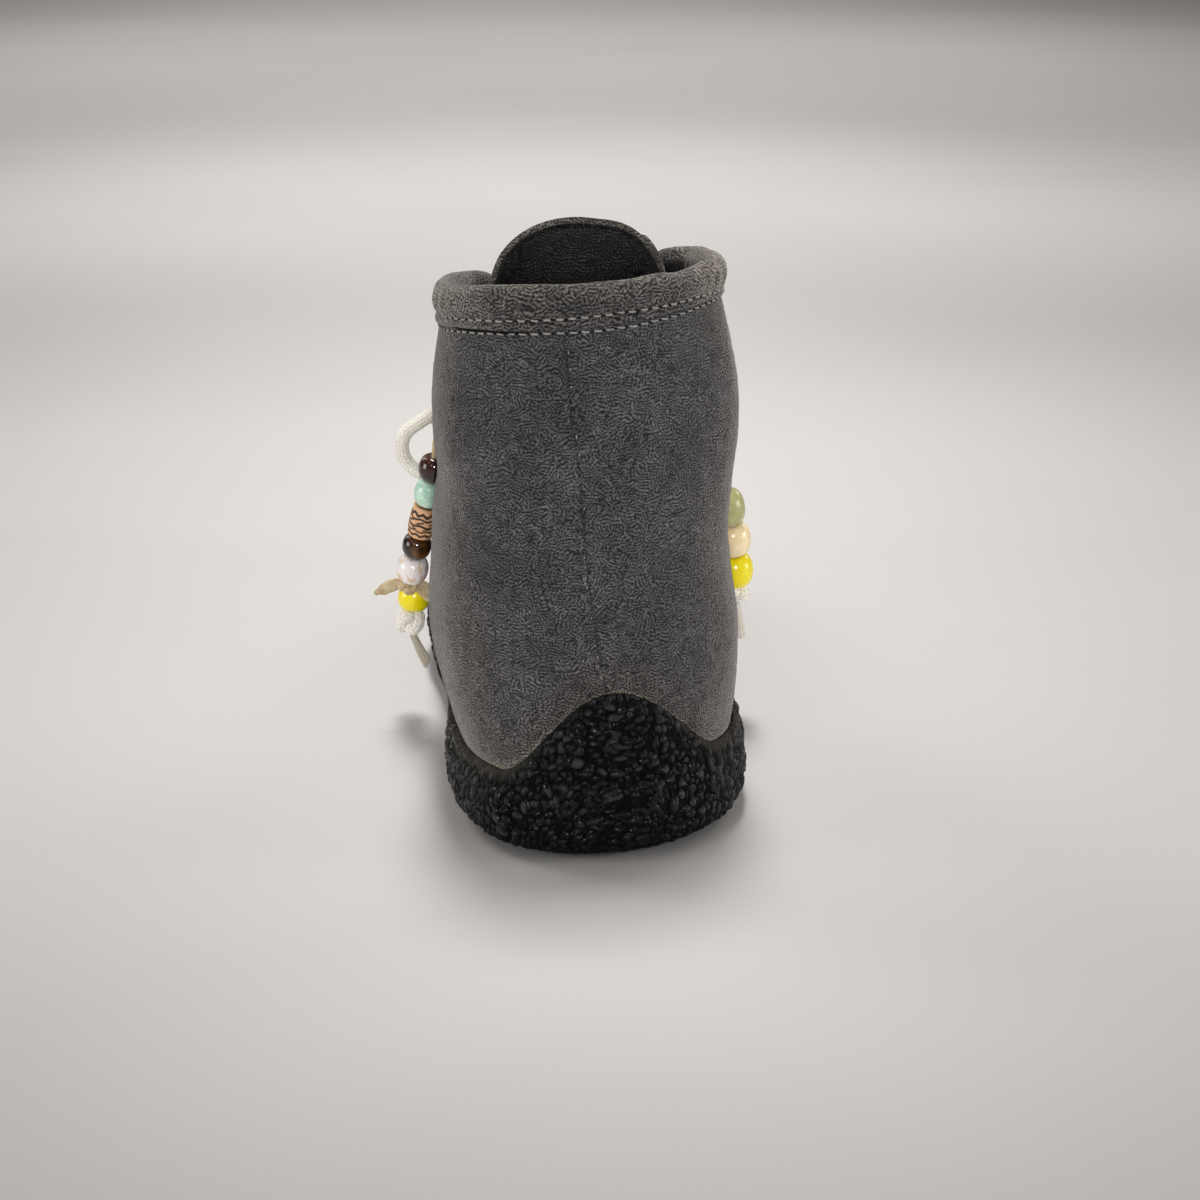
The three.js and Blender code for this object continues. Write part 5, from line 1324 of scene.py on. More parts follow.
# lining: smooth black leather inside
WL = round_the_boot(2.2, 40, 50)
VL = np.linspace(0, 1, 64) ** 0.85 * 2.0
g = form(WL[:, None], VL[None])
wrinkle = 0.22 * fractal(g, 1 / 11, 2, 51) + 0.1 * noise(g, 1 / 3.5, 53)
face_in = on_form(WL[:, None], np.broadcast_to(VL, (len(WL), len(VL))), -2.4 + 0 * wrinkle) - facing(WL[:, None], VL[None]) * (wrinkle.clip(-0.3, 0.3))[..., None]
face_out = on_form(WL[:, None], np.broadcast_to(VL[::-6], (len(WL), len(VL[::-6]))), -1.46)
liner = torus("boot_lining", np.concatenate([face_in, face_out], 1), LINING)
ride(liner)
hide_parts("upper")


# ------------------------------------------------------------------------------------------------ cup sole
def foot_row(w, col):
    """A column of the feather line's table at w."""
    x = np.mod(w, 6.0) * (ROUND / 6)
    i = np.minimum(np.asarray(x).astype(int), ROUND - 1)
    t = x - i
    return RIB_TABLE[i, col] * (1 - t) + RIB_TABLE[i + 1, col] * t


def out_from_foot(w, off):
    _, _, oy, dx, dy = plane_of(w)
    r = foot_row(w, 0) + off
    p = swayed(dx * r, oy + dy * r, 0 * r)
    p[..., 2] = 0
    return p


def smooth_rows(C, n, closed=False):
    """Resamples every row of control points C (k, c, 3) to n points evenly spaced on a rounded curve."""
    k, c, _ = C.shape
    t = np.linspace(0, c - 1, 24 * (c - 1) + 1)
    i = np.minimum(t.astype(int), c - 2)
    f = (t - i)[None, :, None]
    idx = lambda o: np.clip(i + o, 0, c - 1)
    p0, p1, p2, p3 = (C[:, idx(o)] for o in (-1, 0, 1, 2))
    # centripetal tangents
    d0, d1, d2 = (np.maximum(np.linalg.norm(b - a, axis=-1, keepdims=True), 1e-4) ** 0.5 for a, b in ((p0, p1), (p1, p2), (p2, p3)))
    m1 = ((p1 - p0) / d0 - (p2 - p0) / (d0 + d1) + (p2 - p1) / d1) * d1
    m2 = ((p2 - p1) / d1 - (p3 - p1) / (d1 + d2) + (p3 - p2) / d2) * d1
    q = p1 + m1 * f + (-3 * p1 + 3 * p2 - 2 * m1 - m2) * f**2 + (2 * p1 - 2 * p2 + m1 + m2) * f**3
    s = np.concatenate([np.zeros((k, 1)), np.cumsum(np.linalg.norm(np.diff(q, axis=1), axis=2), axis=1)], 1)
    out = np.empty((k, n, 3))
    S = np.empty((k, n))
    for r in range(k):
        at = np.linspace(0, s[r, -1], n)
        S[r] = at
        for a in range(3):
            out[r, :, a] = np.interp(at, s[r], q[r, :, a])
    return out, S


def pebbles(s, h, angle, spacing, long, wide, spread, seed, tall=(0.45, 1.0), gap=0.3):
    """Relief of elongated lumps that lie over each other, with a crevice where two meet: 0 low to 1 on top.
    angle(s, h) gives the way they run. Also returns a number per lump."""
    gi, gj = np.floor(s / spacing).astype(int), np.floor(h / spacing).astype(int)
    best = np.zeros(np.broadcast(s, h).shape)
    second = np.zeros_like(best)
    which = np.zeros_like(best)
    reach = int(math.ceil(long * 1.3 / spacing)) + 1
    for di in range(-reach, reach + 1):
        for dj in range(-reach, reach + 1):
            cx, cy = gi + di, gj + dj
            r = _RAND[_hash(cx, cy, np.full_like(cx, seed))]
            r2 = _RAND[_hash(cx, cy, np.full_like(cx, seed + 3))]
            px, py = (cx + r[..., 0]) * spacing, (cy + r[..., 1]) * spacing
            th = angle(px, py) + (r[..., 2] - 0.5) * spread
            a, b = s - px, h - py
            u = (a * np.cos(th) + b * np.sin(th)) / (long * (0.55 + 0.75 * r2[..., 0]))
            v = (-a * np.sin(th) + b * np.cos(th)) / (wide * (0.7 + 0.55 * r2[..., 1]))
            v = v + 0.35 * (r[..., 1] - 0.5) * u * u  # a little bent
            top = tall[0] + (tall[1] - tall[0]) * r[..., 3]
            dome = (1 - np.abs(u) ** 2.4 - np.abs(v) ** 2.2).clip(0) ** 0.5 * top * (1 + 0.22 * (r2[..., 2] - 0.5) * u + 0.18 * (r[..., 0] - 0.5) * v)
            over = dome > best
            second = np.where(over, best, np.maximum(second, dome))
            which = np.where(over, r2[..., 2], which)
            best = np.maximum(best, dome)
    crevice = smooth(0, gap, best - second)
    return best * (0.3 + 0.7 * crevice), which


GROOVES = (-20, -6, 8, 22, 118, 132, 146, 160)


def notch(y):
    """Height of the grooves' roof at y, 0 between them."""
    y = np.asarray(y, float)
    return 1.8 * np.max([1 - smooth(1.3, 1.8, np.abs(y - g_)) for g_ in GROOVES], axis=0)


def sole_columns():
    q, half = 0.0, []
    while q < 1.0:
        half.append(q)
        q += (0.35 + 0.3 * smooth(0.85, 1.0, q)) / 62.0
    q = 1.0
    while q < 2.0:
        half.append(q)
        q += (0.75 + 0.95 * smooth(1.0, 1.35, q)) / THROAT_Y
    q = 2.0
    while q < 2.996:
        half.append(q)
        q += (1.75 + 0.2 * math.sin(q)) / (95 * math.pi / 2 * (1.0 + 0.45 * smooth(2.3, 3.0, q)))
    return np.array(half + [3.0] + [6 - x for x in half[1:][::-1]])


WS = sole_columns()
s_ws = signed(WS)
top_v = cup_level(WS)
f_z = foot_row(WS, 1)
flare_y = out_from_foot(WS, np.zeros(len(WS)))[:, 1]
flare = 2.1 * np.exp(-(((flare_y - 142) / 26) ** 2)) * (s_ws > 0)  # beside the little toe's joint


def low(share, off):
    p = out_from_foot(WS, float(off) + (flare if off > 0 else 0 * flare))
    g0 = ground(p[:, 1])
    p[:, 2] = g0 + (f_z - g0) * share
    return p


thick = lambda k: GAP + CUP_BULGE + (CUP_TOP_WALL - CUP_BULGE) * float(smooth(0, 1, k)) + flare * float(1 - smooth(0.3, 1, k))
at_top = lambda k, off: on_form(WS, top_v * k, np.full(len(WS), off))
control = [at_top(0.985, 0.02), at_top(1.0, 0.12), at_top(1.012, 0.55), at_top(1.0, 1.35)]
control += [on_form(WS, top_v * k, thick(k)) for k in (0.955, 0.75, 0.5, 0.25)]
control += [low(0.95, GAP + CUP_BULGE), low(0.68, GAP + CUP_BULGE + 0.2), low(0.42, GAP + CUP_BULGE - 0.6), low(0.2, GAP + CUP_BULGE - 2.6), low(0.06, GAP + CUP_BULGE - 5.6), low(0, GAP + CUP_BULGE - 8)]
ROWS = 124
wall, S = smooth_rows(np.stack(control, 1), ROWS)
wn = grid_normals(wall, wrap_n=True)
wn = wn * np.sign((wn * (wall - np.array([0, 90, 20.0])) * [1, 1, 0]).sum(-1).mean())
run = np.concatenate([[0], np.cumsum(np.linalg.norm(np.diff(wall[:, ROWS // 2], axis=0), axis=1))])
run = np.where(s_ws < -1e-6, run - run[-1] - np.linalg.norm(wall[0, ROWS // 2] - wall[-1, ROWS // 2]), run)
along = np.broadcast_to(run[:, None], S.shape)
down = S  # from the top edge


def lie(s, h):
    """How the crepe's lumps run: across the flanks of the heel wave, upright at the sides."""
    wave = np.radians(54) * np.clip(-(s + 4) / 10.0, -1, 1) * (1 - 0.3 * smooth(24, 40, h))
    side = smooth(30, 44, np.abs(s))
    return wave * (1 - side) + np.radians(90) * np.sign(-s) * side


wob = 0.3 * noise(wall, 1 / 2.6, 57), 0.3 * noise(wall, 1 / 2.6, 58)
big, kind = pebbles(along + wob[0], down + wob[1], lie, 2.4, 2.9, 1.15, 0.6, 11, gap=0.4)
mid_, kind2 = pebbles(along + 31, down + 7, lambda s, h: lie(s - 31, h - 7), 1.8, 1.7, 0.9, 1.5, 23, gap=0.4)
few = smooth(-0.1, 0.5, noise(wall, 1 / 11.0, 59) + 0.45 * smooth(20, 34, down) - 0.4)
rel = np.maximum(big * (1 - 0.5 * few), 0.62 * mid_ * (0.7 + 0.65 * few))
tone = np.where(big * (1 - 0.5 * few) > 0.62 * mid_ * (0.7 + 0.65 * few), kind, kind2)
tone = tone * (1 - 0.5 * smooth(0.8, 1.25, np.abs(s_ws)))[:, None]  # lump tops darker beyond the heel
near_top = 1 - smooth(1.6, 6.5, down)
valley = np.exp(-(((np.abs(s_ws) - 0.6) / 0.17) ** 2))[:, None] * (1 - smooth(1.5, 5.5, down))
sides_only = smooth(1.0, 1.5, np.abs(s_ws))[:, None]
fold, _ = pebbles(along, down, lambda s, h: np.radians(82) + 0 * s, 1.9, 4.6, 0.85, 0.5, 37)
rel = rel * (1 - 0.55 * near_top) + 0.5 * near_top * fold
rel = rel * (1 - 0.6 * valley)
rel = rel * (1 - 0.25 * sides_only)
lumpy = 0.28 * fractal(wall, 1 / 7.0, 2, 61)
amp = 1.6 * smooth(0.3, 2.2, down) * (1 - 0.6 * smooth(S[:, -1:] - 7, S[:, -1:] - 2, down))
dd = amp * (rel - 0.55) + lumpy * smooth(0.5, 3, down) + 0.03 * noise(wall, 1 / 0.9, 63) * smooth(0.5, 2, down)
P = wall + wn * dd[..., None]
P[..., 2] = np.maximum(P[..., 2], 0.02 + 0.0 * P[..., 2])
low_edge = wall[..., 2] < 2.6
P[..., 2] = np.where(low_edge, np.maximum(P[..., 2], notch(P[..., 1])), P[..., 2])
inner = np.stack([on_form(WS, top_v * k, np.full(len(WS), 0.05)) for k in (0.0, 0.5, 0.9)], 1)
floor_in = low(0.3, -5.0)
bottom_in = low(0.12, -6.0)
ring = np.concatenate([P, bottom_in[:, None], floor_in[:, None], inner], 1)
dust = np.clip(0.85 * valley * np.where(s_ws > 0, 1.0, 0.75)[:, None] + 0.3 * near_top * smooth(0.3, 0.8, np.abs(s_ws))[:, None] + 0.06 * (1 - smooth(0, 8, down)) + 0.08 * noise(wall, 1 / 9.0, 71), 0, 1)
dust = dust * (1 - smooth(8, 16, down)) + (0.16 * smooth(0.52, 0.7, np.abs(s_ws)))[:, None] * (1 - smooth(16, 26, down))
pad = np.zeros((len(WS), 5))
# the 'low' attribute is painted shade: 1 towards the bottom of the wall
cup = torus("crepe_cup", ring, CREPE, attrs={"lump": np.concatenate([np.clip(rel, 0, 1), pad], 1), "dust": np.concatenate([dust, pad], 1), "tone": np.concatenate([tone, pad], 1),
    "low": np.concatenate([smooth(20, S[:, -1:] - 4, down) * (1 - 0.55 * smooth(0.9, 1.4, np.abs(s_ws)))[:, None], pad + 1], 1)})
ride(cup)
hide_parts("outsole")

# underside: rows straight across, so that the grooves have crisp sides
rim_w = np.linspace(0, 6, 1441)[:-1]
edge_line = out_from_foot(rim_w, np.full(len(rim_w), GAP + CUP_BULGE - 7.6))
y_lo, y_hi = edge_line[:, 1].min() + 0.15, edge_line[:, 1].max() - 0.15
ys = set(np.round(np.linspace(y_lo, y_hi, 150), 3))
for g_ in GROOVES:
    ys = {y for y in ys if abs(abs(y - g_) - 1.5) > 0.25}
    ys |= {g_ - 1.53, g_ - 1.47, g_ + 1.47, g_ + 1.53}
ys = np.array(sorted(ys))
k_hi, k_lo = int(np.argmax(edge_line[:, 1])), int(np.argmin(edge_line[:, 1]))
ordered = np.roll(edge_line, -k_lo, axis=0)
top_i = int(np.argmax(ordered[:, 1]))
chain_a, chain_b = ordered[: top_i + 1], np.concatenate([ordered[top_i:], ordered[:1]])[::-1]
xa = np.interp(ys, chain_a[:, 1], chain_a[:, 0])
xb = np.interp(ys, chain_b[:, 1], chain_b[:, 0])
NU = 60
u = np.linspace(0, 1, NU)[None]
X = xa[:, None] * (1 - u) + xb[:, None] * u
Y = np.broadcast_to(ys[:, None], X.shape)
in_groove = np.min([np.abs(ys - g_) for g_ in GROOVES], axis=0) < 1.5
crepe_under, _ = pebbles(X, Y, lambda s, h: 0.9 + 0 * s, 2.4, 2.6, 1.2, 3.0, 47)
Z = ground(Y) + 0.02 + 0.45 * (1 - crepe_under) * smooth(0, 0.05, u) * (1 - smooth(0.95, 1, u))
Z = np.where(in_groove[:, None], np.maximum(1.8, Z) + 0.2 * (1 - crepe_under), Z)
under = np.stack([X, Y, Z], -1)
lid = np.stack([X, Y, np.full(X.shape, 3.4) + ground(Y)], -1)
n_, m_ = X.shape
verts = np.concatenate([under.reshape(-1, 3), lid[:, ::1].reshape(-1, 3)])
q1 = grid_quads(n_, m_)
q2 = grid_quads(n_, m_, flip=True, base=n_ * m_)
rim_idx = np.concatenate([np.arange(m_), np.arange(1, n_) * m_ + m_ - 1, (n_ - 1) * m_ + np.arange(m_ - 2, -1, -1), np.arange(n_ - 2, 0, -1) * m_])
nxt = np.roll(rim_idx, -1)
q3 = np.stack([rim_idx, nxt, nxt + n_ * m_, rim_idx + n_ * m_], 1)
quads = np.concatenate([q1, q2, q3])
a_, b_, c_, d_ = (verts[q1[:, k]] for k in range(4))
facing_up = np.cross(b_ - a_, c_ - a_)[:, 2].mean() > 0
if facing_up:  # the underside has to look down
    quads = np.concatenate([q1[:, ::-1], q2[:, ::-1], q3])
a_, b_, c_, d_ = (verts[q3[:, k]] for k in range(4))
outward_ok = (np.cross(b_ - a_, c_ - a_) * (a_ - verts.mean(0))).sum(1).mean() > 0
if not outward_ok:
    quads[len(q1) + len(q2):] = quads[len(q1) + len(q2):, ::-1]
tread = make("crepe_tread", verts, quads, CREPE, attrs={"lump": np.concatenate([crepe_under.ravel(), np.zeros(n_ * m_)]), "dust": np.concatenate([(0.35 * crepe_under).ravel(), np.zeros(n_ * m_)]), "tone": np.full(2 * n_ * m_, 0.4)})
ride(tread)
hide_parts("outsole")

# ------------------------------------------------------------------------------------------------ insole
WI = round_the_boot(1.6, 50, 60)
inset = -(WALL + GAP + 0.35)
mid_xy = out_from_foot(WI, np.full(len(WI), GAP - 12.0))
low_p = on_form(WI, np.zeros(len(WI)), np.full(len(WI), inset))
low_p[:, 2] = np.maximum(foot_row(WI, 1), floor_z(low_p[:, 1])) + GAP + 0.05


def v_at_height(w, z):
    a, b = np.zeros(len(w)), np.ones(len(w))
    for _ in range(24):
        m = (a + b) / 2
        lo = form(w, m)[:, 2] < z
        a, b = np.where(lo, m, a), np.where(lo, b, m)
    return (a + b) / 2


high_z = low_p[:, 2] + INSOLE_THICK
high_p = on_form(WI, v_at_height(WI, high_z), np.full(len(WI), inset))
high_p[:, 2] = high_z
oy = plane_of(WI)[2]
cz = floor_z(oy) + GAP
mid_z = floor_z(mid_xy[:, 1]) + GAP
centre_line = swayed(0 * oy, oy, cz)
centre_line[:, 2] = cz
rows = [centre_line + [0, 0, 0.05]]
m0 = mid_xy.copy()
m0[:, 2] = mid_z + 0.05
rows += [m0, low_p]
bulge = (low_p + high_p) / 2
rows += [low_p * 0.5 + bulge * 0.5, bulge, high_p * 0.6 + bulge * 0.4]
top_mid = mid_xy.copy()
top_mid[:, 2] = mid_z + INSOLE_THICK
cen_top = centre_line.copy()
cen_top[:, 2] = cz + INSOLE_THICK
for t in np.linspace(0, 1, 9):
    rows.append(high_p * (1 - t) + top_mid * t - np.array([0, 0, 0.35 * math.sin(math.pi * min(1, t + 0.15))]))
for t in np.linspace(0.08, 1, 26):
    rows.append(top_mid * (1 - t) + cen_top * t - np.array([0, 0, 0.5 * t]))
R_ = np.stack(rows, 1)
n_, m_ = R_.shape[:2]
q = grid_quads(n_, m_, True, False)
if volume_sign(R_, q) < 0:
    q = q[:, ::-1]
insole = make("felt_insole", R_, q, FELT)
import bmesh

bm = bmesh.new()
bm.from_mesh(insole.data)
bmesh.ops.remove_doubles(bm, verts=bm.verts, dist=1e-6)
bmesh.ops.dissolve_degenerate(bm, edges=bm.edges, dist=1e-7)
bm.to_mesh(insole.data)
bm.free()
insole.data.shade_smooth()
ride(insole)
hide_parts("insole")

# ------------------------------------------------------------------------------------------------ collar roll
LIP_W = [-1.5, -1.12, -0.91, -0.75, -0.58, -0.41, -0.15, 0.07, 0.25, 0.4, 0.54, 0.73, 1.5]
LIP_H = [-0.7, -0.55, 0.0, -0.15, -0.45, -0.95, -1.5, -1.6, -1.35, -0.9, -0.5, -0.45, -0.6]
ROW_W = [-1.5, -0.82, -0.58, -0.41, 0.0, 0.2, 0.35, 0.49, 0.67, 1.5]
ROW_H = [1.3, 1.2, 1.4, 1.0, 1.0, 1.15, 1.5, 1.85, 1.9, 1.6]
LOW_W = [-1.5, -1.12, -0.91, -0.75, -0.6, -0.42, -0.24, -0.03, 0.08, 0.2, 0.29, 0.42, 0.55, 0.67, 1.5]
LOW_H = [-2.0, -1.6, -0.75, -0.95, -1.5, -2.4, -2.95, -3.05, -2.8, -2.45, -2.15, -1.75, -1.6, -1.6, -1.9]
lip_at = lambda s: (np.interp(s, LIP_W, LIP_H) + np.interp(s - 0.05, LIP_W, LIP_H) + np.interp(s + 0.05, LIP_W, LIP_H)) / 3
row_at = lambda s: (np.interp(s, ROW_W, ROW_H) + np.interp(s - 0.05, ROW_W, ROW_H) + np.interp(s + 0.05, ROW_W, ROW_H)) / 3
low_at = lambda s: (np.interp(s, LOW_W, LOW_H) + np.interp(s - 0.05, LOW_W, LOW_H) + np.interp(s + 0.05, LOW_W, LOW_H)) / 3
END = 1.46
st = np.linspace(-END, END, 420)
rim_p = form(st, np.full(len(st), 2.0))
rim_n = facing(st, np.full(len(st), 2.0))
rim_n[:, 2] = 0
rim_n = unit(rim_n)
rim_run = np.concatenate([[0], np.cumsum(np.linalg.norm(np.diff(rim_p, axis=0), axis=1))])


def roll_profile(hb, hs):
    return np.array([
        (0.1, hb + 0.25), (0.42, hb + 0.0), (0.95, hb + 0.02), (1.3, hb + 0.45), (1.32, (hb + hs) / 2 + 0.1), (0.82, hs), (1.3, hs + 1.15),
        (1.66, 4.2), (1.74, 5.9), (1.42, 7.9), (0.5, 9.5), (-0.9, 10.25), (-2.3, 10.3), (-3.6, 9.55), (-4.55, 7.9), (-4.95, 5.7),
        (-4.8, 3.4), (-4.3, 1.7), (-3.75, 0.6), (-3.95, -0.5), (-3.6, -1.4), (-2.8, -1.5), (-2.52, -0.7), (-2.46, 0.12), (-1.2, 0.18), (0.0, 0.16),
    ])


prof = np.array([roll_profile(float(lip_at(s)), float(row_at(s))) for s in st])
c = prof.shape[1]
fine = []
for k in range(c):
    p0, p1, p2, p3 = (prof[:, (k + o) % c] for o in (-1, 0, 1, 2))
    for t in (0, 1 / 3, 2 / 3) if k not in (22, 23, 24) else (0,):
        fine.append(0.5 * (2 * p1 + (p2 - p0) * t + (2 * p0 - 5 * p1 + 4 * p2 - p3) * t * t + (3 * p1 - p0 - 3 * p2 + p3) * t**3))
prof = np.stack(fine, 1)
O, Hh = prof[..., 0], prof[..., 1]
ang = np.arctan2(Hh - 5.3, O + 1.7)
pitch_phase = 2 * np.pi * rim_run / 3.2
on_row = np.exp(-(((Hh - row_at(st)[:, None]) / 1.1) ** 2)) * (O > 0)
puff = on_row * 0.13 * np.cos(pitch_phase)[:, None]
edge_ = np.minimum(1, (END - np.abs(st)) / 0.12)
least = np.where(st < 0, 0.8, 0.55)
grow = least + (1 - least) * np.sqrt(np.clip(1 - (1 - edge_) ** 2, 0, 1))
O = -1.7 + (O + 1.7) * grow[:, None]
Hh = 5.3 + (Hh - 5.3) * grow[:, None]
rise = 1 + (0.05 * smooth(-1.12, -1.3, st) + 0.24 * smooth(-1.28, -1.45, st) - 0.09 * np.exp(-(((st + 0.47) / 0.12) ** 2)))[:, None] * smooth(2, 8, Hh)
Hh_in = Hh
DROP_W = [-0.9, -0.75, -0.65, -0.55, -0.47, -0.41, -0.35, -0.25, -0.15, -0.05, 0.1, 0.2, 0.3, 0.42, 0.52, 0.75]
DROP_H = [0.0, 0.45, 1.1, 1.15, 0.8, 0.45, 0.75, 1.6, 1.55, 1.3, 1.05, 0.5, 0.1, -0.2, -0.35, 0.0]
drop_at = lambda s: (np.interp(s, DROP_W, DROP_H) + np.interp(s - 0.04, DROP_W, DROP_H) + np.interp(s + 0.04, DROP_W, DROP_H)) / 3
Hh = Hh * rise - drop_at(st)[:, None] * smooth(2, 8, Hh)
P = rim_p[:, None] + rim_n[:, None] * O[..., None]
P[..., 2] = rim_p[:, None, 2] + Hh
P[..., 0] -= 3.6 * smooth(-1.3, -1.46, st)[:, None] * smooth(2, 7, Hh_in)  # the right end leans in over the tongue
ro = unit(rim_n[:, None] * np.cos(ang)[..., None] + np.array([0, 0, 1.0]) * np.sin(ang)[..., None])
soft = 0.3 * fractal(P, 1 / 13.0, 2, 81) + 0.12 * noise(P, 1 / 3.0, 83) + 0.16 * noise(P, 1 / 1.25, 84)
tight = np.exp(-(((np.abs(st) - 0.95) / 0.28) ** 2))[:, None]  # small folds where the roll turns its corners
soft = soft + tight * 0.28 * np.cos(2 * np.pi * rim_run / 5.3 + 1.2 * np.sin(rim_run / 7))[:, None] * np.cos(ang) ** 2
visible = smooth(-1.5, 0.5, Hh - np.where(O > -2, lip_at(st)[:, None], 1.0) - 0.3)
P = P + ro * ((soft + puff) * (0.3 + 0.7 * visible))[..., None]
ends = []
for i, dirn in ((0, -1), (-1, 1)):
    mid = P[i].mean(0)
    step_ = unit(rim_p[i] - rim_p[i - dirn])
    ends.append([mid + (P[i] - mid) * f + step_ * a * (1.5 if dirn < 0 else 1.0) for f, a in ((0.93, 0.35), (0.78, 0.75), (0.5, 1.1), (0.2, 1.25))])
P = np.concatenate([np.array(ends[0])[::-1], P, np.array(ends[1])])
lit = np.concatenate([np.zeros(4), st, np.zeros(4)])
hgt = P[..., 2]
shadow = np.zeros(P.shape[:2])
hh_full = np.concatenate([Hh_in[:1].repeat(4, 0), Hh_in, Hh_in[-1:].repeat(4, 0)])
oo_full = np.concatenate([O[:1].repeat(4, 0), O, O[-1:].repeat(4, 0)])
st_full = np.concatenate([st[:1].repeat(4), st, st[-1:].repeat(4)])
lining_and_shade = (1 - smooth(6.7, 7.6, hh_full)) * (oo_full < -2.2) * (smooth(-0.68, -0.8, st_full))[:, None]  # the black lining starts here, painted darker than the lining as shade in the boot's opening
# painted shade along the upper stitch row, where the roll is pinched in
pinch_dark = 0.45 * np.exp(-(((hh_full - row_at(st_full)[:, None]) / 0.38) ** 2)) * (oo_full > 0)
pinch_dark = np.maximum(pinch_dark, 0.97 * lining_and_shade)
# the roll's 'warm' colour: random tone, lighter towards both ends, and painted light along its top
def ROLL_TONE_AND_LIGHT(P):
    out = 0.06 + 0.1 * noise(P, 1 / 12.0, 91)
    out = out + np.where(P[..., 0] < -3, 0.55, 1.0) * smooth(24, 33, np.abs(P[..., 0] + 3)) * (0.75 + 0.4 * noise(P, 1 / 5.0, 92))
    # painted light: the roll's upper part lighter where light falls from above
    painted_top_light = smooth(5.4, 8.6, hh_full) * (oo_full > -3.6) * smooth(-31, -22, P[..., 0])
    out = out + 0.36 * painted_top_light * (0.85 + 0.5 * noise(P, 1 / 4.0, 93))
    return out.clip(0, 1)


roll = bar("collar_padding", P, SUEDE_ROLL, attrs={"warm": ROLL_TONE_AND_LIGHT(P), "painted_shade": pinch_dark, "edge": shadow})
ride(roll)
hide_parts("collar_roll")

# ------------------------------------------------------------------------------------------------ tongue
TONGUE_TOP = dict(x=-3.9, y=43, z=161.6, half=25.2, high=20, wrap=10)


def under_vamp(y, half, drop):
    out = []
    for u in ACROSS:
        x = u * half
        reach_ = max(math.hypot(x, y - THROAT_Y), drop)
        w = 3 + (math.atan2(x, y - THROAT_Y) / math.pi) * 2
        R = ribs([w])[0]
        a, b = 1.0, 2.0
        for _ in range(24):
            m = (a + b) / 2
            r, _z = hermite(R[8], R[9], R[12], R[13], R[11], R[14], m - 1)
            a, b = (m, b) if r > reach_ else (a, m)
        p = on_form(w, a, -(WALL + TONGUE_CLEAR + 1.8))
        q_ = swayed(x, y, p[2])
        out.append([q_[0], q_[1], p[2]])
    return np.array(out)


ta = ACROSS * np.pi / 2
tongue_top = np.stack([
    TONGUE_TOP["x"] + TONGUE_TOP["half"] * np.sin(ta * 0.98),
    TONGUE_TOP["y"] - TONGUE_TOP["wrap"] * ACROSS**2,
    TONGUE_TOP["z"] - TONGUE_TOP["high"] * (1 - np.cos(ta).clip(0) ** 0.9) - 9 * (np.abs(ACROSS) - 0.8).clip(0),
], 1)
collar_arch = arch_at(51, 0.75)
faces = [under_vamp(124, 15, 0), under_vamp(115, 16, 0)] + [arch_at(y, 0.6) for y in (102, 94, 86, 77, 68, 59)] + [collar_arch]
faces += [collar_arch * (1 - t) + tongue_top * t for t in (0.35, 0.7, 1.0)]
faces = np.array(faces)
NR, NC = 122, 88
g1, _ = smooth_rows(faces.transpose(1, 0, 2), NR)  # along the tongue, for each place across
g1 = g1.transpose(1, 0, 2)
TG, TS = smooth_rows(g1, NC)  # across, for each row
u_c = 2 * TS / TS[:, -1:] - 1
run_0 = np.concatenate([[0], np.cumsum(np.linalg.norm(np.diff(TG[:, NC // 2], axis=0), axis=1))])
tab = (1.35 * smooth(0.1, 0.42, u_c) + 0.7 * smooth(0.5, 0.525, u_c) - 0.95 * smooth(0.56, 0.85, u_c)) * smooth(12, 2, (run_0[-1] - run_0))[:, None]
TG = TG + tab[..., None] * unit(np.stack([np.sin(1.3 * u_c), 0 * u_c, np.cos(1.3 * u_c)], -1))
tn = grid_normals(TG)
if (tn[NR // 2, NC // 2] * [0, 0.4, 1]).sum() < 0:
    tn = -tn
rim_dist = np.minimum(TS, TS[:, -1:] - TS)
run_t = np.concatenate([[0], np.cumsum(np.linalg.norm(np.diff(TG[:, NC // 2], axis=0), axis=1))])
from_top = run_t[-1] - run_t
free = smooth(42, 30, from_top)
rim_dist = np.minimum(rim_dist, from_top[:, None] + 0 * rim_dist)
plump = 0.25 * fractal(TG, 1 / 16, 2, 101) + 0.11 * noise(TG, 1 / 2.4, 103) + 0.14 * noise(TG, 1 / 1.2, 104)
round_edge = (1 - smooth(0, 1.6, rim_dist)) * 0.75
outer_t = TG + tn * (plump - round_edge)[..., None]
inner_t = TG - tn * (1.55 - round_edge + 0.12 * noise(TG, 1 / 2.0, 106))[..., None]


def slab(name, A, B, material, attrs=None, shade=True):
    """Closed sheet between faces A and B (n, m, 3), joined along its border."""
    n, m = A.shape[:2]
    verts = np.concatenate([A.reshape(-1, 3), B.reshape(-1, 3)])
    qa = grid_quads(n, m)
    qb = grid_quads(n, m, flip=True, base=n * m)
    loop = np.concatenate([np.arange(m), np.arange(1, n) * m + m - 1, (n - 1) * m + np.arange(m - 2, -1, -1), np.arange(n - 2, 0, -1) * m])
    nx = np.roll(loop, -1)
    side_q = np.stack([nx, loop, loop + n * m, nx + n * m], 1)
    qs = np.concatenate([qa, qb, side_q])
    if volume_sign(verts, qs) < 0:
        qs = qs[:, ::-1]
    return make(name, verts, qs, material, attrs=attrs, shade=shade)


zeros_t = np.zeros(TG.shape[:2])
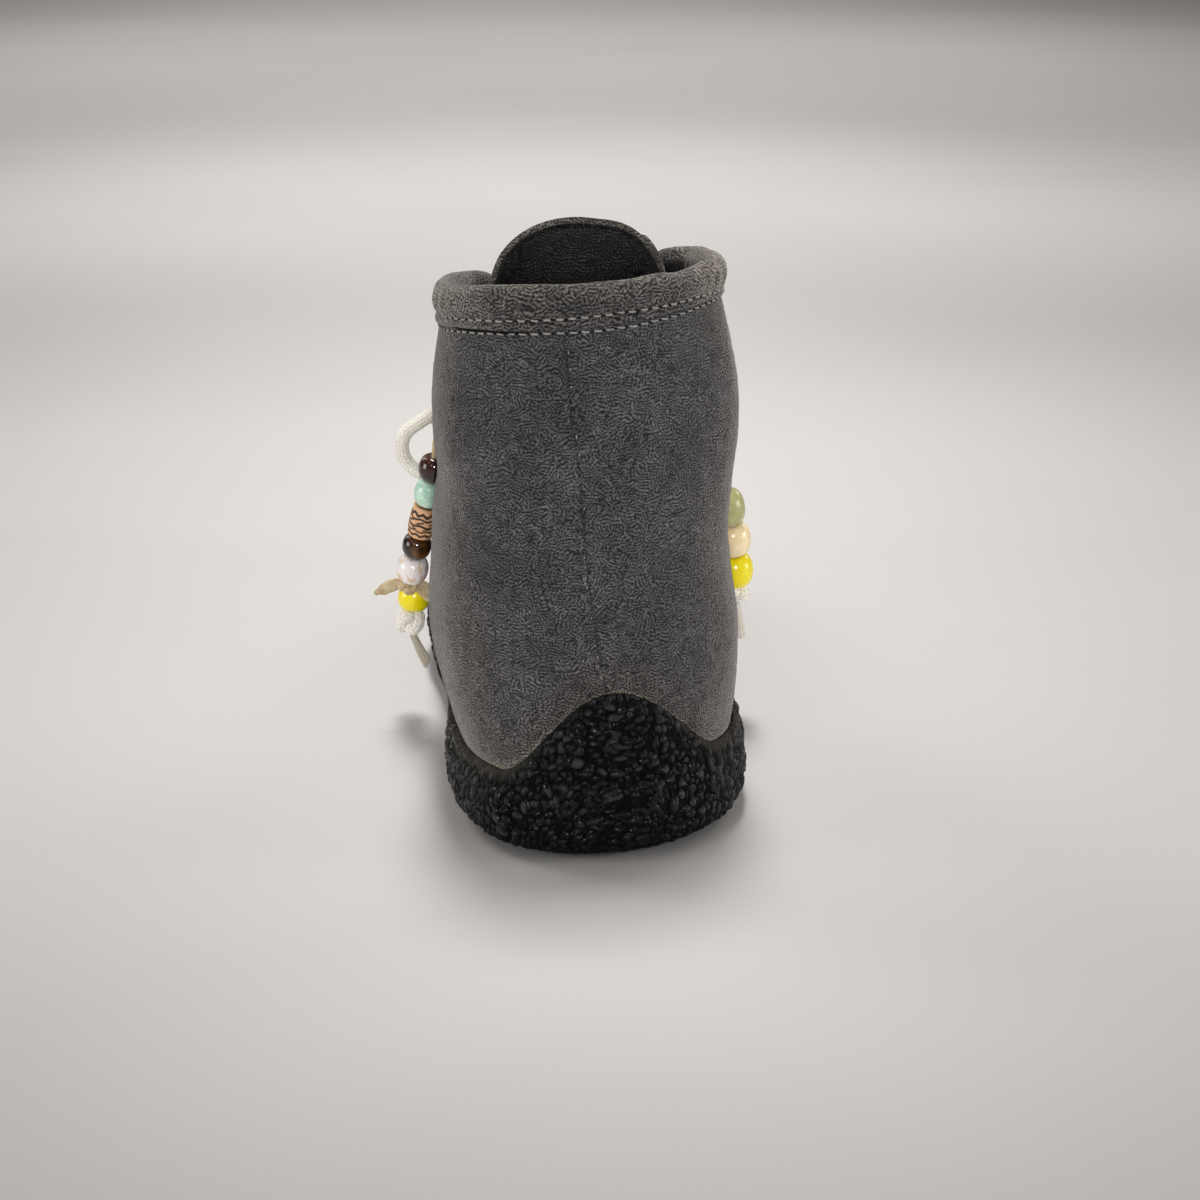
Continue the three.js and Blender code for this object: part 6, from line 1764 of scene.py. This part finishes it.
# the tongue's suede is a lighter copy of the upper's: painted light; the 'warm' colour along its rim is a painted
# highlight; the inner 'edge' colour is the cut edge
tongue = slab("suede_tongue", outer_t, inner_t, suede("suede_tongue", (0.086, 0.084, 0.085)), attrs={k: np.stack([v, v2]) for k, v, v2 in (
    ("warm", 0.3 * (1 - smooth(0, 4, rim_dist)), 0.45 * (1 - smooth(1, 7, rim_dist))), ("painted_shade", zeros_t, zeros_t), ("edge", zeros_t, 0.3 * (1 - smooth(0.5, 1.6, rim_dist))))})
ride(tongue)
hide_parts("tongue")
# black lining glued inside, its edge set back from the suede's
rows_keep = np.linspace(0, 1, 130)
set_back = 1.5
cols = np.linspace(0, 1, 60)
back_off = set_back + 1.9 * smooth(0.74, 0.79, cols) + 0.7 * smooth(0.2, 0.05, cols)
at_p, at_n = [], []
for i in range(NR):
    # keep the same distance from the rounded top at the sides
    side_cut = 1.5 + 3.4 * float(smooth(3, 20, from_top[i]))
    at = np.linspace(side_cut, TS[i, -1] - side_cut - 1.6 * float(smooth(6, 12, from_top[i])), 60)
    at_p.append(np.stack([np.interp(at, TS[i], TG[i, :, a]) for a in range(3)], 1))
    at_n.append(np.stack([np.interp(at, TS[i], tn[i, :, a]) for a in range(3)], 1))
at_p, at_n = np.array(at_p), np.array(at_n)
lin_rows = []
for k in range(72):
    target = k / 71 * (run_t[-1] - back_off)
    i = np.clip(np.searchsorted(run_t, target) - 1, 0, NR - 2)
    t = ((target - run_t[i]) / (run_t[i + 1] - run_t[i]))[:, None]
    j = np.arange(60)
    lin_rows.append((at_p[i, j] * (1 - t) + at_p[i + 1, j] * t, at_n[i, j] * (1 - t) + at_n[i + 1, j] * t))
LA = np.array([r[0] for r in lin_rows])
LN = unit(np.array([r[1] for r in lin_rows]))
edge_l = np.minimum(np.minimum(np.arange(72)[::-1][:, None] * 1.3, np.arange(60)[None] * 0.9), np.arange(60)[::-1][None] * 0.9)
thin = 1 - (1 - smooth(0, 1.6, edge_l)) * 0.6
lin_outer = LA - LN * 1.5
lin_inner = LA - LN * (1.5 + 1.0 * thin + 0.07 * noise(LA, 1 / 2.2, 111))[..., None]
tongue_lining = slab("tongue_lining", lin_outer, lin_inner, LINING)
ride(tongue_lining)
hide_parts("tongue")

# ------------------------------------------------------------------------------------------------ stitches and moc seam
def on_path(P, N, positions):
    seg = np.linalg.norm(np.diff(P, axis=0), axis=1)
    s = np.concatenate([[0], np.cumsum(seg)])
    p = np.stack([np.interp(positions, s, P[:, a]) for a in range(3)], -1)
    n = unit(np.stack([np.interp(positions, s, N[:, a]) for a in range(3)], -1))
    return p, n


def stitches(P, N, pitch=3.2, run=2.2, r=0.28, lift=0.22, skew=0.0, start=1.0, lifts=None, seed=0):
    """Tubes of running stitches along a path on a surface, and the needle holes between them."""
    length = np.linalg.norm(np.diff(P, axis=0), axis=1).sum()
    rng = np.random.default_rng(100 + seed)
    tubes, holes = [], []
    c = start
    while c + run < length:
        t = np.linspace(0, 1, 6)
        pos = c + run * t
        p, n = on_path(P, N, pos)
        tan = unit(np.gradient(p, axis=0))
        side = np.cross(n, tan)
        k = 1.0 if lifts is None else float(lifts(c / length))
        hgt = (-0.42 + (lift + 0.42 + 0.05 * rng.normal()) * np.sin(np.pi * t) ** 0.7) * 1.0 - (1 - k) * 0.3
        off = skew * (t - 0.5) + 0.06 * rng.normal()
        line = p + n * hgt[:, None] + side * off[:, None]
        tubes.append(tube(line, r * (1 + 0.08 * rng.normal()), 7))
        h, hn = on_path(P, N, np.array([c - (pitch - run) / 2]))
        holes.append((h[0], hn[0], unit(on_path(P, N, np.array([c]))[0][0] - h[0] + 1e-9)))
        c += pitch + 0.12 * rng.normal()
    return tubes, holes


def hole_mesh(name, holes, a=0.46, b=0.3, deep=0.2):
    """Needle holes: small near-black dimpled lenses pressed into the surface, a painted shade in the holes."""
    V, Q, T3, base = [], [], [], 0
    m = 10
    ang_ = np.linspace(0, 2 * np.pi, m, endpoint=False)
    for p, n, t in holes:
        s = np.cross(n, t)
        ring1 = p + n * 0.03 + np.cos(ang_)[:, None] * t * a + np.sin(ang_)[:, None] * s * b
        ring2 = p + n * 0.07 + np.cos(ang_)[:, None] * t * a * 0.6 + np.sin(ang_)[:, None] * s * b * 0.6
        ring0 = p - n * 0.25 + np.cos(ang_)[:, None] * t * a * 0.8 + np.sin(ang_)[:, None] * s * b * 0.8
        V.append(np.concatenate([ring0, ring1, ring2, [p - n * 0.3, p + n * 0.02]]))
        j = np.arange(m)
        j2 = (j + 1) % m
        Q.append(np.concatenate([np.stack([j, j2, m + j2, m + j], 1), np.stack([m + j, m + j2, 2 * m + j2, 2 * m + j], 1)]) + base)
        T3.append(np.concatenate([np.stack([j2, j, np.full(m, 3 * m)], 1), np.stack([2 * m + j, 2 * m + j2, np.full(m, 3 * m + 1)], 1)]) + base)
        base += 3 * m + 2
    ob = make(name, np.concatenate(V), np.concatenate(Q), SHADE_BLACK, tris=np.concatenate(T3))
    ride(ob)
    return ob


def surface_point(w, v, off=0.0):
    return on_form(w, v, np.zeros(np.shape(w)) + off)


ws = np.linspace(-1.43, 1.43, 900)
rp = form(ws, np.full(900, 2.0))
rn = facing(ws, np.full(900, 2.0))
rn[:, 2] = 0
rn = unit(rn)
up_path = rp + rn * 0.86
up_path[:, 2] = rp[:, 2] + row_at(ws)
tubes, holes = stitches(up_path, rn, pitch=3.25, run=2.15, r=0.27, lift=0.2, skew=-0.25, lifts=lambda f: 1 - 1.0 * smooth(0.6, 0.7, f), seed=1)
# shaft row: find v at that depth under the rim
v_low = np.full(900, 1.97)
want = rp[:, 2] + low_at(ws)
a_, b_ = np.full(900, 1.85), np.full(900, 2.0)
for _ in range(24):
    m_v = (a_ + b_) / 2
    lower = form(ws, m_v)[:, 2] < want
    a_, b_ = np.where(lower, m_v, a_), np.where(lower, b_, m_v)
low_path = form(ws, a_)
low_n = facing(ws, a_)
t2, h2 = stitches(low_path + low_n * 0.12, low_n, pitch=3.2, run=2.05, r=0.26, lift=0.18, skew=-0.2, lifts=lambda f: 1 - 0.35 * smooth(0.62, 0.75, f), seed=2)
thread_ob = tube_mesh("collar_stitches", (tubes + t2)[0], THREAD, more=(tubes + t2)[1:])
ride(thread_ob)
hole_mesh("collar_needle_holes", holes + [(p + n * 0.1, n, t) for p, n, t in h2])
# the lip stands off the shaft: a near-black bar painted in as the shadow under its edge
sel = np.abs(st) < 1.36
gap_s, gap_p, gap_n = st[sel], rim_p[sel], rim_n[sel]
gap_half = 0.11 + 0.42 * smooth(0.2, 0.34, gap_s) * (1 - smooth(0.6, 0.74, gap_s)) + 0.07 * smooth(-0.2, -0.4, gap_s)
gap_half = gap_half * (0.8 + 0.5 * noise(gap_p, 1 / 3.0, 95))
ga = np.linspace(0, 2 * np.pi, 8, endpoint=False)
gap = gap_p[:, None] + gap_n[:, None] * (0.33 + 0.3 * np.cos(ga))[None, :, None]
gap[..., 2] = (gap_p[:, 2] + lip_at(gap_s) + 0.08 - gap_half)[:, None] + gap_half[:, None] * np.sin(ga)[None]
ride(bar("collar_lip_shadow", gap, SHADE_BLACK))


def v_at_length(w, v0, dist, toward=-1):
    """v reached from v0 by going dist mm along the rib."""
    grid = np.linspace(0, 2, 300)
    out = np.empty(len(w))
    for i, (wi, di) in enumerate(zip(w, np.broadcast_to(dist, len(w)))):
        g_ = form(np.full(300, wi), grid)
        s = np.concatenate([[0], np.cumsum(np.linalg.norm(np.diff(g_, axis=0), axis=1))])
        s0 = np.interp(v0 if np.isscalar(v0) else v0[i], grid, s)
        out[i] = np.interp(s0 + toward * di, s, grid)
    return out


all_t, all_h = [], []
for side in (-1, 1):
    mirror = (lambda q_: q_) if side < 0 else (lambda q_: 6 - q_)
    # along the facings, one row near the edge and one behind the eyelets
    for dist, q0, q1 in ((2.6, 1.5, 1.965), (15.5, 1.36, 1.93)):
        qq = np.linspace(q0, q1, 60)
        wv = mirror(qq)
        vv = v_at_length(wv, 2.0, dist)
        t_, h_ = stitches(surface_point(wv, vv, 0.05), facing(wv, vv), pitch=3.2, run=2.1, r=0.26, lift=0.2, seed=5 + side)
        all_t += t_
        all_h += h_
    # down the quarter's front edge, two rows
    for back_off in (2.4, 5.2):
        vv = np.linspace(1.93, 0.42, 90)
        qq = quarter_edge(vv) - back_off / np.interp(vv, [0, 1, 2], [103, 103, 103])
        wv = mirror(qq)
        t_, h_ = stitches(surface_point(wv, vv, 0.05), facing(wv, vv), pitch=3.2, run=2.1, r=0.26, lift=0.2, seed=9 + side)
        all_t += t_
        all_h += h_
seams = tube_mesh("quarter_stitches", all_t[0], THREAD, more=all_t[1:])
ride(seams)
hole_mesh("quarter_needle_holes", all_h, 0.45, 0.3)

# raised moc seam round the toe, gathered by its stitches
qs_ = np.concatenate([np.linspace(1.885, 2.995, 500), np.linspace(3.005, 6 - 1.885, 500)])
mp, mlen = resample(form(qs_, np.full(1000, 1.0)), step=0.62)
mw = np.interp(np.linspace(0, 1, len(mp)), np.concatenate([[0], np.cumsum(np.linalg.norm(np.diff(form(qs_, np.full(1000, 1.0)), axis=0), axis=1))]) / mlen, qs_)
mn = facing(mw, np.full(len(mw), 1.0))
mt = unit(np.gradient(mp, axis=0))
ms = unit(np.cross(mn, mt))
msn = np.arange(len(mp)) * 0.62
a = np.linspace(0, 2 * np.pi, 20, endpoint=False)[None]
gath = 0.5 + 0.5 * np.cos(2 * np.pi * msn / 5.4)[:, None]
hw = 1.55 + 0.28 * gath
hh = 1.75 + 0.3 * gath
fade = smooth(0, 6, np.minimum(msn, msn[-1] - msn))[:, None]
cx = hw * np.sign(np.cos(a)) * np.abs(np.cos(a)) ** 0.75
cy = -0.6 + hh * np.sign(np.sin(a)) * np.abs(np.sin(a)) ** 0.8
split = -0.55 * np.exp(-((cx / 0.35) ** 2)) * (cy > 0)  # two edges stand side by side
slant = 0.25 * np.sin(2 * np.pi * msn / 5.4)[:, None] * np.cos(a)
Pm = mp[:, None] + ms[:, None] * (cx + slant)[..., None] + mn[:, None] * ((cy + split) * (0.25 + 0.75 * fade) - 0.5 * (1 - fade))[..., None]
Pm = Pm + mn[:, None] * (0.07 * noise(Pm, 1 / 1.5, 121))[..., None]
# painted shade in the split between the seam's two edges; the ridge's top a little lighter
ridge_dark = np.broadcast_to(0.55 * np.exp(-((cx / 0.4) ** 2)) * (cy > 0), cx.shape) + 0 * msn[:, None]
zero_m = np.zeros(Pm.shape[:2])
ridge = bar("moc_seam", Pm, SUEDE, attrs={"warm": zero_m + 0.25 * (cy > 0.6), "painted_shade": ridge_dark, "edge": zero_m})
ride(ridge)
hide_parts("upper")
whip = []
for c in np.arange(5.4 * 1.5, mlen - 5.4, 5.4):
    i = int(c / 0.62)
    if i >= len(mp) - 2:
        break
    th = np.linspace(-0.18, np.pi + 0.18, 13)
    line = mp[i] + ms[i] * (2.0 * np.cos(th))[:, None] + mn[i] * (-0.5 + 2.0 * np.sin(th).clip(-0.3))[:, None] + mt[i] * (0.55 * np.cos(th))[:, None]
    whip.append(tube(line, 0.42, 9, lambda s, a_: 0.05 * np.sin(3 * a_ + 9 * s)))
whips = tube_mesh("moc_stitches", whip[0], THREAD, more=whip[1:])
ride(whips)

# threads that show beside the back seam
rng = np.random.default_rng(5)
fleck = []
for z in np.concatenate([np.arange(52, 96, 2.75), np.arange(98, 140, 4.6)]):
    z = z + rng.normal() * 0.25
    vz = np.interp(z, form(np.zeros(200), np.linspace(0.6, 2, 200))[:, 2], np.linspace(0.6, 2, 200))
    sx = seam_shift(z)
    w_ = (-sx + 0.55 + 0.12 * rng.normal()) / PER_W if z < 96 else (-sx + 0.75 * rng.choice([-1, 1])) / PER_W
    p = form(w_, vz)
    n = facing(w_, vz)
    p2 = form(w_ - 0.0, vz + 0.009 if z < 96 else vz + 0.006)
    tdir = unit(p2 - p)
    ln = (0.9 if z < 96 else 0.6) * (0.8 + 0.5 * rng.random())
    line = p + n * np.array([-0.1, 0.16, 0.18, -0.08])[:, None] + tdir * (np.linspace(-0.5, 0.5, 4) * ln)[:, None]
    fleck.append(tube(line, 0.13, 7))
flecks = tube_mesh("back_seam_threads", fleck[0], THREAD, more=fleck[1:])
ride(flecks)

# ------------------------------------------------------------------------------------------------ stage and light
def sweep():
    """Pale floor that curves up far behind."""
    xs = np.linspace(-6000, 6000, 61)
    prof_ = [(y, 0.0) for y in np.linspace(-3000, 2600, 57)]
    prof_ += [(2600 + 1400 * math.sin(t), 1400 - 1400 * math.cos(t)) for t in np.linspace(0.05, math.pi / 2, 24)]
    prof_ += [(4000, z) for z in np.linspace(1500, 5000, 12)]
    pr = np.array(prof_)
    G = np.stack([np.broadcast_to(xs[:, None], (61, len(pr))), np.broadcast_to(pr[None, :, 0], (61, len(pr))), np.broadcast_to(pr[None, :, 1], (61, len(pr)))], -1)
    q_ = grid_quads(61, len(pr))
    k = Look("paper_sweep")
    t = k.noise(k.p, 0.004, 3.0)
    k.set(Base_Color=k.mix(k.step(t, 0.3, 0.7), (0.81, 0.784, 0.763), (0.83, 0.804, 0.783)), Roughness=k.step(t, 0.2, 0.8, 0.75, 0.85))
    k.put(k.b.inputs["Specular IOR Level"], 0.2)
    ob = make("floor", G, q_, k.m)
    return ob


FLOOR = sweep()


def area(name, at, look, size, power, colour=(1, 1, 1), size_y=None):
    l = bpy.data.lights.new(name, "AREA")
    l.energy, l.color = power, colour
    l.shape = "RECTANGLE"
    l.size, l.size_y = size, size_y or size
    o = bpy.data.objects.new(name, l)
    scene.collection.objects.link(o)
    o.location = at
    o.rotation_mode = "QUATERNION"
    o.rotation_quaternion = (Vector(look) - Vector(at)).to_track_quat("-Z", "Y")
    return o


world = bpy.data.worlds.new("studio")
scene.world = world
world.use_nodes = True
wb = world.node_tree.nodes["Background"]
wb.inputs["Color"].default_value = (1.0, 0.985, 0.97, 1)
wb.inputs["Strength"].default_value = 0.16


def spot(name, at, look, half, power, radius=0.2):
    l = bpy.data.lights.new(name, "SPOT")
    l.energy, l.color = power, (1.0, 0.985, 0.968)
    l.spot_size, l.spot_blend = math.radians(2 * half), 1.0
    l.shadow_soft_size = radius
    o = bpy.data.objects.new(name, l)
    scene.collection.objects.link(o)
    o.location = at
    o.rotation_mode = "QUATERNION"
    o.rotation_quaternion = (Vector(look) - Vector(at)).to_track_quat("-Z", "Y")
    return o


warm_white = (1.0, 0.985, 0.968)
area("left_low", (-0.9, -0.12, 0.15), (0, 0, 0.08), 0.4, 2.42, warm_white)
area("right_low", (0.9, -0.12, 0.15), (0, 0, 0.08), 0.4, 2.85, warm_white)
area("left_back_box", (-0.9, 0.9, 0.8), (0, 0, 0.08), 0.6, 2.4, warm_white)
area("right_back_box", (0.9, 0.9, 0.8), (0, 0, 0.08), 0.6, 2.8, warm_white)
fill = spot("fill", (0, -1.8, 0.42), (0, 0.05, 0.07), 8, 98)
# the fill and the two small glint lights are flagged off the floor
off_floor = bpy.data.collections.new("fill_flag")
off_floor.objects.link(FLOOR)
off_floor.collection_objects[0].light_linking.link_state = "EXCLUDE"
fill.light_linking.receiver_collection = off_floor
spot("key_over", (0, 0.14, 1.5), (0, 0.08, 0), 10, 4)
spot("key_behind", (0, 0.5, 1.4), (0, 0, 0), 9, 42)
spot("key_left", (-0.7, 0.5, 1.1), (0, -0.02, 0), 12, 6.5)
spot("front_floor", (0, -0.2, 1.5), (0, -0.24, 0), 9, 6, 0.1)
glints = [spot("glint_left", (-0.7, -0.5, 0.9), (0, -0.02, 0.04), 9, 3.2, 0.04)]
glints.append(spot("glint_right", (0.7, -0.5, 0.9), (0, -0.02, 0.04), 9, 3.4, 0.04))
for light in glints:
    light.light_linking.receiver_collection = off_floor
spot("bead_light", (-0.5, -0.95, 0.5), (-0.056, 0.075, 0.06), 4.5, 8, 0.12)
spot("pool_near", (0, 0.25, 1.6), (0, 0.2, 0), 20, 26, 0.15)
spot("pool_toe", (0, 0.45, 1.8), (0, 0.45, 0), 13, 50)
spot("pool_far", (0, 1.1, 2.0), (0, 1.1, 0), 16, 65)
spot("pool_sweep", (0, 2.2, 2.4), (0, 2.2, 0), 22, 38)
spot("pool_wide", (0, 2.0, 2.4), (0, 1.9, 0), 32, 76, 0.3)
scene.view_settings.view_transform = "Standard"
scene.view_settings.look = "None"
scene.view_settings.exposure = 0.0
scene.view_settings.gamma = 1.0
